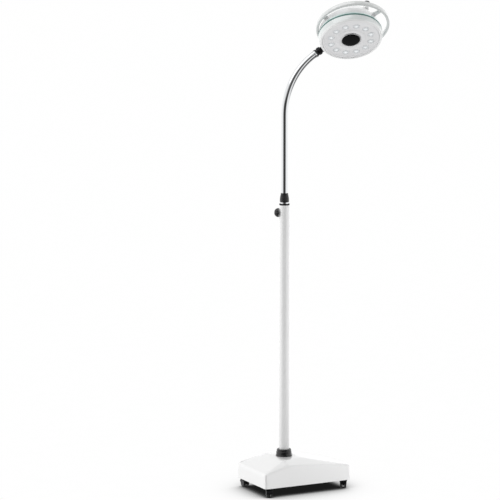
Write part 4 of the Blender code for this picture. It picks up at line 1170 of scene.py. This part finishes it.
def head_front():
    profile = [
        (RING_RADIUS, -3.2), (RING_RADIUS - 0.8, -14.5), (RING_RADIUS - 2.0, -21.0), (113.6, -25.4),
        (111.6, -27.7), (108.6, -28.3), (106.2, -27.9), (104.6, -26.0), (104.5, -23.4), (110.5, -22.8),
        (113.8, -13), (114, -3.2),
    ]
    turned("rim", fillet(profile, 1.4, True), HEAD_STEPS, HEAD, "head", WHITE_RIM_PAINTED_SHADE, "front_bezel")

    bm = bmesh.new()
    profile = [
        (104.1, -23.7), (104.1, -25.7), (97.5, -25.7), (96.5, -25.1), (54.5, -25.1), (53.5, -25.7),
        (35.3, -25.7), (35.3, -23.7),
    ]
    lathe(bm, fillet(profile, 0.4, True, 2), HEAD_STEPS)
    plate = add_piece("face_panel", bm, HEAD, "head", [SILVER], "face_plate")

    def holes(bm):
        for spot in lens_spots():
            profile = [(0, -20), (LENS_RADIUS + 0.4, -20), (LENS_RADIUS + 0.4, -40), (0, -40)]
            lathe(bm, profile, 48, Matrix.Translation(spot))

    cut_out(plate, holes, HEAD)

    bm = bmesh.new()
    lathe(bm, [(91, -21.3), (91, -23.2), (59, -23.2), (59, -21.3)], 96)
    for spot in lens_spots():
        rim = [
            (0, -22), (LENS_RADIUS, -22), (LENS_RADIUS, -25.1), (LENS_RADIUS - 0.7, -25.8),
            (LENS_RADIUS - 1.6, -25.8), (LENS_RADIUS - 2.2, -25.1), (8.2, -24.9), (LENS_CORE, -25.5),
            (LENS_CORE - 0.4, -24.6), (0, -24.6),
        ]
        lathe(bm, fillet(rim, 0.3, False, 2), 40, Matrix.Translation(spot))
        core = [(LENS_CORE - 0.1, -25.2), (4.4, -26.0), (3.0, -26.4), (1.6, -26.6), (0, -26.6)]
        base = [(0, -24.0), (LENS_CORE - 0.5, -24.0)]
        lathe(bm, base + core, 40, Matrix.Translation(spot), material_index=1)
    add_piece("lens_set", bm, HEAD, "head", [LENS_CLEAR, LENS], "lens_plate")

    profile = [(0, -22.5), (33, -22.5), (33, -26.9), (31.6, -27.5), (26, -27.9), (14, -28.2), (0, -28.3)]
    turned("dark_window", fillet(profile, 0.6, False), 112, HEAD, "head", GLOSS_BLACK, "sensor_window")

    profile = [
        (35, -22.5), (35, -26), (37.5, -26), (37.3, -26.8), (35.6, -27.9), (33.6, -27.7), (33.3, -22.5),
    ]
    turned("window_ring", fillet(profile, 0.4, True), 112, HEAD, "head", RING_METAL, "sensor_bezel")


def lens_spots():
    for index in range(LENS_COUNT):
        yield around(LENS_START + 360 * index / LENS_COUNT, LENS_CIRCLE).to_3d()


def back_outline():
    """The back cover's outline as one smooth line through its turns, from its rim to its middle."""
    knots = [
        (116.2, 3.2), (114.2, 9), (112.5, 16), (111, 24), (109.6, 30.5), (107.6, 35.5), (101.6, 43),
        (93, 57), (80, 69), (55, 78.8), (28, 83.6), (0, 85),
    ]
    points = [Vector(knot) for knot in knots]
    smooth = [points[0]]
    for a, b, c, d in zip([points[0]] + points, points, points[1:], points[2:] + [points[-1]]):
        for step in range(1, 5):
            t = step / 4
            smooth.append(
                b * (2 * t ** 3 - 3 * t ** 2 + 1) + c * (3 * t ** 2 - 2 * t ** 3)
                + (c - a) * 0.5 * (t ** 3 - 2 * t ** 2 + t) + (d - b) * 0.5 * (t ** 3 - t ** 2))
    return [(max(0.0, point.x), point.y) for point in smooth]


def head_back():
    bm = bmesh.new()
    outline = back_outline()
    outline[-1] = (0, 84.9)
    inner = []
    for before, here, after in zip(outline, outline[1:], outline[2:]):
        run = Vector(after) - Vector(before)
        normal = Vector((run.y, -run.x)).normalized()
        inner.append((here[0] - normal.x * 2.6, here[1] - normal.y * 2.6))
    inner = [(outline[0][0] - 2.8, outline[0][1])] + [p for p in inner if p[0] > 1] + [(0, 82.4)]
    lathe(bm, outline[::-1] + inner, HEAD_STEPS)
    for turn in (45, 135, 225, 315):
        screw_head(bm, facing((*around(turn, 85.5), 63), (*around(turn, 0.62), 0.78)), 3.4, 1.0)
    for turn in range(0, 360, 12):
        if 150 < turn < 210:
            continue
        matrix = Matrix.Rotation(radians(turn), 4, "Z") @ facing((67, 0, 74.6), (0.38, 0, 0.92))
        vent = rounded_rectangle(-4.6, -0.9, 4.6, 0.9, 0.8, 3)
        slab(bm, vent, -0.6, 0.35, 0.3, matrix)
    add_piece("back_shell", bm, HEAD, "head", [WHITE_PAINTED_GLOW], "back_cover")

    profile = [
        (RING_RADIUS - 0.7, 2.9), (RING_RADIUS, 1.9), (RING_RADIUS, -1.9), (RING_RADIUS - 0.7, -2.9),
        (110, -2.9), (110, 2.9),
    ]
    turned("halo_ring", fillet(profile, 0.5, True, 2), HEAD_STEPS, HEAD, "head", TEAL, "light_ring")

    bm = bmesh.new()
    outer = HEAD_REACH - 19.3
    profile = [(10.6, outer), (12.5, outer - 1.6), (12.5, 98), (5.3, 98), (5.3, outer - 0.8), (6.2, outer)]
    lathe(bm, fillet(profile, 0.7, True), 64, facing((0, 0, 0), (1, 0, 0)))
    add_piece("stem_boss", bm, HEAD, "head", [WHITE_MOULD], "head_boss")


def handle():
    """Band round the back cover, hoop, and four spokes that widen where they meet them."""
    bm = bmesh.new()
    low = HOOP_LOW
    high = HOOP_HIGH
    inner = HOOP_RADIUS - HOOP_SECTION
    section = [
        (HOOP_RADIUS - 2.6, high), (HOOP_RADIUS, high - 3.8), (HOOP_RADIUS, low + 3.8),
        (HOOP_RADIUS - 2.6, low), (inner + 2.6, low), (inner, low + 3.8), (inner, high - 3.8),
        (inner + 2.6, high),
    ]
    lathe(bm, fillet(section, 2.6, True), HEAD_STEPS, Matrix.Translation((-HOOP_OFFSET, 0, 0)))
    band = [(105.0, 36), (109.0, 33.0), (110.4, 27.2), (109.6, 26), (107.0, 26), (104.4, 35.4)]
    lathe(bm, fillet(band, 0.8, True), HEAD_STEPS)
    for degrees in SPOKE_ANGLES:
        angle = radians(degrees)
        start = 107.6
        end = -HOOP_OFFSET * cos(angle) + HOOP_RADIUS - HOOP_SECTION / 2
        rings = []
        count = 10
        for step in range(count + 1):
            t = step / count
            flare = (2 * t - 1) ** 4
            half = 9.4 + 2.6 * flare
            middle = 30.5
            thick = 2.9 + 0.6 * flare
            reach = start + (end - start) * t
            outline = rounded_rectangle(-half, -thick, half, thick, min(2.4, thick * 0.95), 4)
            turn = Matrix.Rotation(angle, 4, "Z")
            rings.append([bm.verts.new(turn @ Vector((reach, y, middle + z))) for y, z in outline])
        capped(bm, rings)
        if degrees:
            matrix = Matrix.Rotation(angle, 4, "Z") @ facing((109.0, 0, 33.6), (0, 0, 1))
            screw_head(bm, matrix, 2.6, 1.0)
    add_piece("handle_hoop", bm, HEAD, "head", [WHITE_HOOP_PAINTED_SHADE], "handle_ring")


def dimmer():
    joint = JOINTS["dimmer_turn"]
    across = HEAD.col[1].to_3d().cross(Vector(joint["axis"]))
    matrix = frame_matrix(Vector(joint["pos_m"]), across, joint["axis"])

    def flutes(angle, radius, height):
        if radius < 9.6 or not 20.5 < height < 31:
            return 0.0
        return groove(angle, 18, 0.5)

    grip = [
        (0, 32.6), (7.0, 32.6), (7.6, 33.0), (8.8, 33.0), (9.9, 31.6), (10.5, 26), (10.8, 20.2),
        (10.2, 19.6), (0, 19.6),
    ]
    skirt = [(10.4, 19.4), (11.2, 18.4), (11.4, 7), (11.5, 5.4), (11.5, 3.2), (3.3, 3.2), (3.3, 19.4)]
    bm = bmesh.new()
    lathe(bm, fillet(grip, 0.5, False, 2), 108, wave=flutes)
    lathe(bm, fillet(skirt, 0.4, True, 2), 108, material_index=1)
    add_piece("dimmer_grip", bm, matrix, "dimmer", [BLACK_SATIN, WHITE_MOULD], "dimmer_knob")

    bm = bmesh.new()
    mark = rounded_rectangle(3.0, -0.5, 8.2, 0.5, 0.4, 3)
    slab(bm, mark, 32.5, 33.0, 0.1)
    add_piece("dimmer_mark", bm, matrix, "dimmer", [WHITE_MOULD])


# ---------------- assembly

for item in list(bpy.data.objects):
    bpy.data.objects.remove(item)

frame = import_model()
JOINTS = {joint["name"]: joint for joint in frame["joints"]}

low_corner, high_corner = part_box("pole_tube")
POLE = Vector(((low_corner.x + high_corner.x) / 2, (low_corner.y + high_corner.y) / 2, 0))
STAND = Matrix.Translation(POLE)
REAR_ORIGIN = Vector((0, BASE_HALF_DEPTH - WALL_LEAN * (60 - COVER_BOTTOM), 60))
OUTWARD = Vector((0, 1, WALL_LEAN)).normalized()
REAR_LOCAL = Matrix.Translation(REAR_ORIGIN) @ Matrix((
    (1, 0, 0, 0), (0, -OUTWARD.z, OUTWARD.y, 0), (0, OUTWARD.y, OUTWARD.z, 0), (0, 0, 0, 1)))
ROCKER = Matrix.Translation(Vector(JOINTS["switch_rock"]["pos_m"])) @ Matrix((
    (1, 0, 0, 0), (0, OUTWARD.y, -OUTWARD.z, 0), (0, OUTWARD.z, OUTWARD.y, 0), (0, 0, 0, 1)))

PIVOT = Vector(JOINTS["link_tilt"]["pos_m"])
TILT_AXIS = Vector(JOINTS["link_tilt"]["axis"])
ARM_DIRECTION = Vector(JOINTS["wrist_turn"]["axis"]).normalized()
HEAD_DIRECTION = Vector(JOINTS["head_spin"]["axis"]).normalized()
KNUCKLE = frame_matrix(PIVOT, TILT_AXIS, ARM_DIRECTION)
LINK = frame_matrix(PIVOT, TILT_AXIS, HEAD_DIRECTION)
HEAD = frame_matrix(PIVOT + HEAD_DIRECTION * HEAD_REACH * MM, -HEAD_DIRECTION, -Vector(LIGHT_DIRECTION))

WHITE = enamel("white_enamel_look", (0.83, 0.83, 0.83))
WHITE_MOULD = enamel("white_mould_look", (0.78, 0.785, 0.785))
# Painted shade: the rim's wall between the teal ring and the lip is painted grey, with a faint painted mint
# glow from the ring.
WHITE_RIM_PAINTED_SHADE = enamel("white_rim_painted_shade_look", (0.88, 0.885, 0.885), HEAD, (0.66, 0.70, 0.695), -19 * MM, -26.5 * MM)
# Painted shade: the hoop is a darker copy of the white enamel, standing in for the shade it falls in.
WHITE_HOOP_PAINTED_SHADE = enamel("white_hoop_painted_shade_look", (0.68, 0.70, 0.695))
# Painted glow: a mint band on the back cover next to the teal ring, fading back from it, stands in for the
# ring's light.
WHITE_PAINTED_GLOW = enamel("white_painted_glow_look", (0.84, 0.845, 0.85), HEAD, (0.66, 0.84, 0.82), 5 * MM, 15 * MM)
CHROME = plated("chrome_look", (0.68, 0.69, 0.70), 0.07)
OXIDE = machined("oxide_look", (0.035, 0.035, 0.038), 0.38)
STEEL = machined("steel_look", (0.60, 0.61, 0.62))
FINS = machined("aluminium_look", (0.66, 0.67, 0.69), 0.4)
BLACK_SATIN = moulded("black_satin_look", (0.007, 0.007, 0.008), 0.42, 0.12, 0.0, 0.12)
BLACK_SHINE = moulded("black_shine_look", (0.010, 0.010, 0.011), 0.26, 0.05, 0.15)
BLACK_PAINT = moulded("black_paint_look", (0.010, 0.010, 0.011), 0.32, 0.08, 0.12)
GLOSS_BLACK = moulded("gloss_black_look", (0.001, 0.001, 0.0015), 0.12, 0.01, 0.0, 0.08)
RING_METAL = plated("ring_metal_look", (0.90, 0.90, 0.91), 0.34)
WHEEL_GREY = moulded("wheel_grey_look", (0.06, 0.06, 0.063), 0.45)
TREAD = tread_rubber("tread_look", (0.012, 0.012, 0.012))
CAST = cast("cast_look", (0.15, 0.15, 0.16))
SILVER = silver_face("silver_look", (0.82, 0.82, 0.83), HEAD)
LENS = lens_material("lens_look", 0.92, 0.10)
LENS_CLEAR = lens_material("lens_rim_look", 0.74, 0.0)
TEAL = glowing_ring("teal_look", (0.030, 0.13, 0.115), (0.35, 0.90, 0.80))
BOARD = board_material("board_look")

KEPT_LOOKS = {
    "base_plate": CAST,
    "counterweight": CAST,
    "pole_socket": STEEL,
    "power_supply": FINS,
    "guide_bush": BLACK_SATIN,
    "arm_bush_lower": BLACK_SATIN,
    "arm_bush_upper": BLACK_SATIN,
    "arm_lead": TREAD,
    "stem_retainer": STEEL,
    "face_seal": TREAD,
    "led_board": BOARD,
    "heat_sink": FINS,
    "sensor_board": BOARD,
    "dimmer_control": BLACK_SATIN,
    "dimmer_shaft": STEEL,
}
for node_name, look in KEPT_LOOKS.items():
    node = frame["nodes"][node_name]
    node.data.materials.clear()
    node.data.materials.append(look)

make_studio()
base_cover()
pole_collar()
rear_fittings()
casters()
pole()
clamp()
telescoping_tube()
arm()
knuckle()
head_front()
head_back()
handle()
dimmer()

bpy.context.view_layer.update()
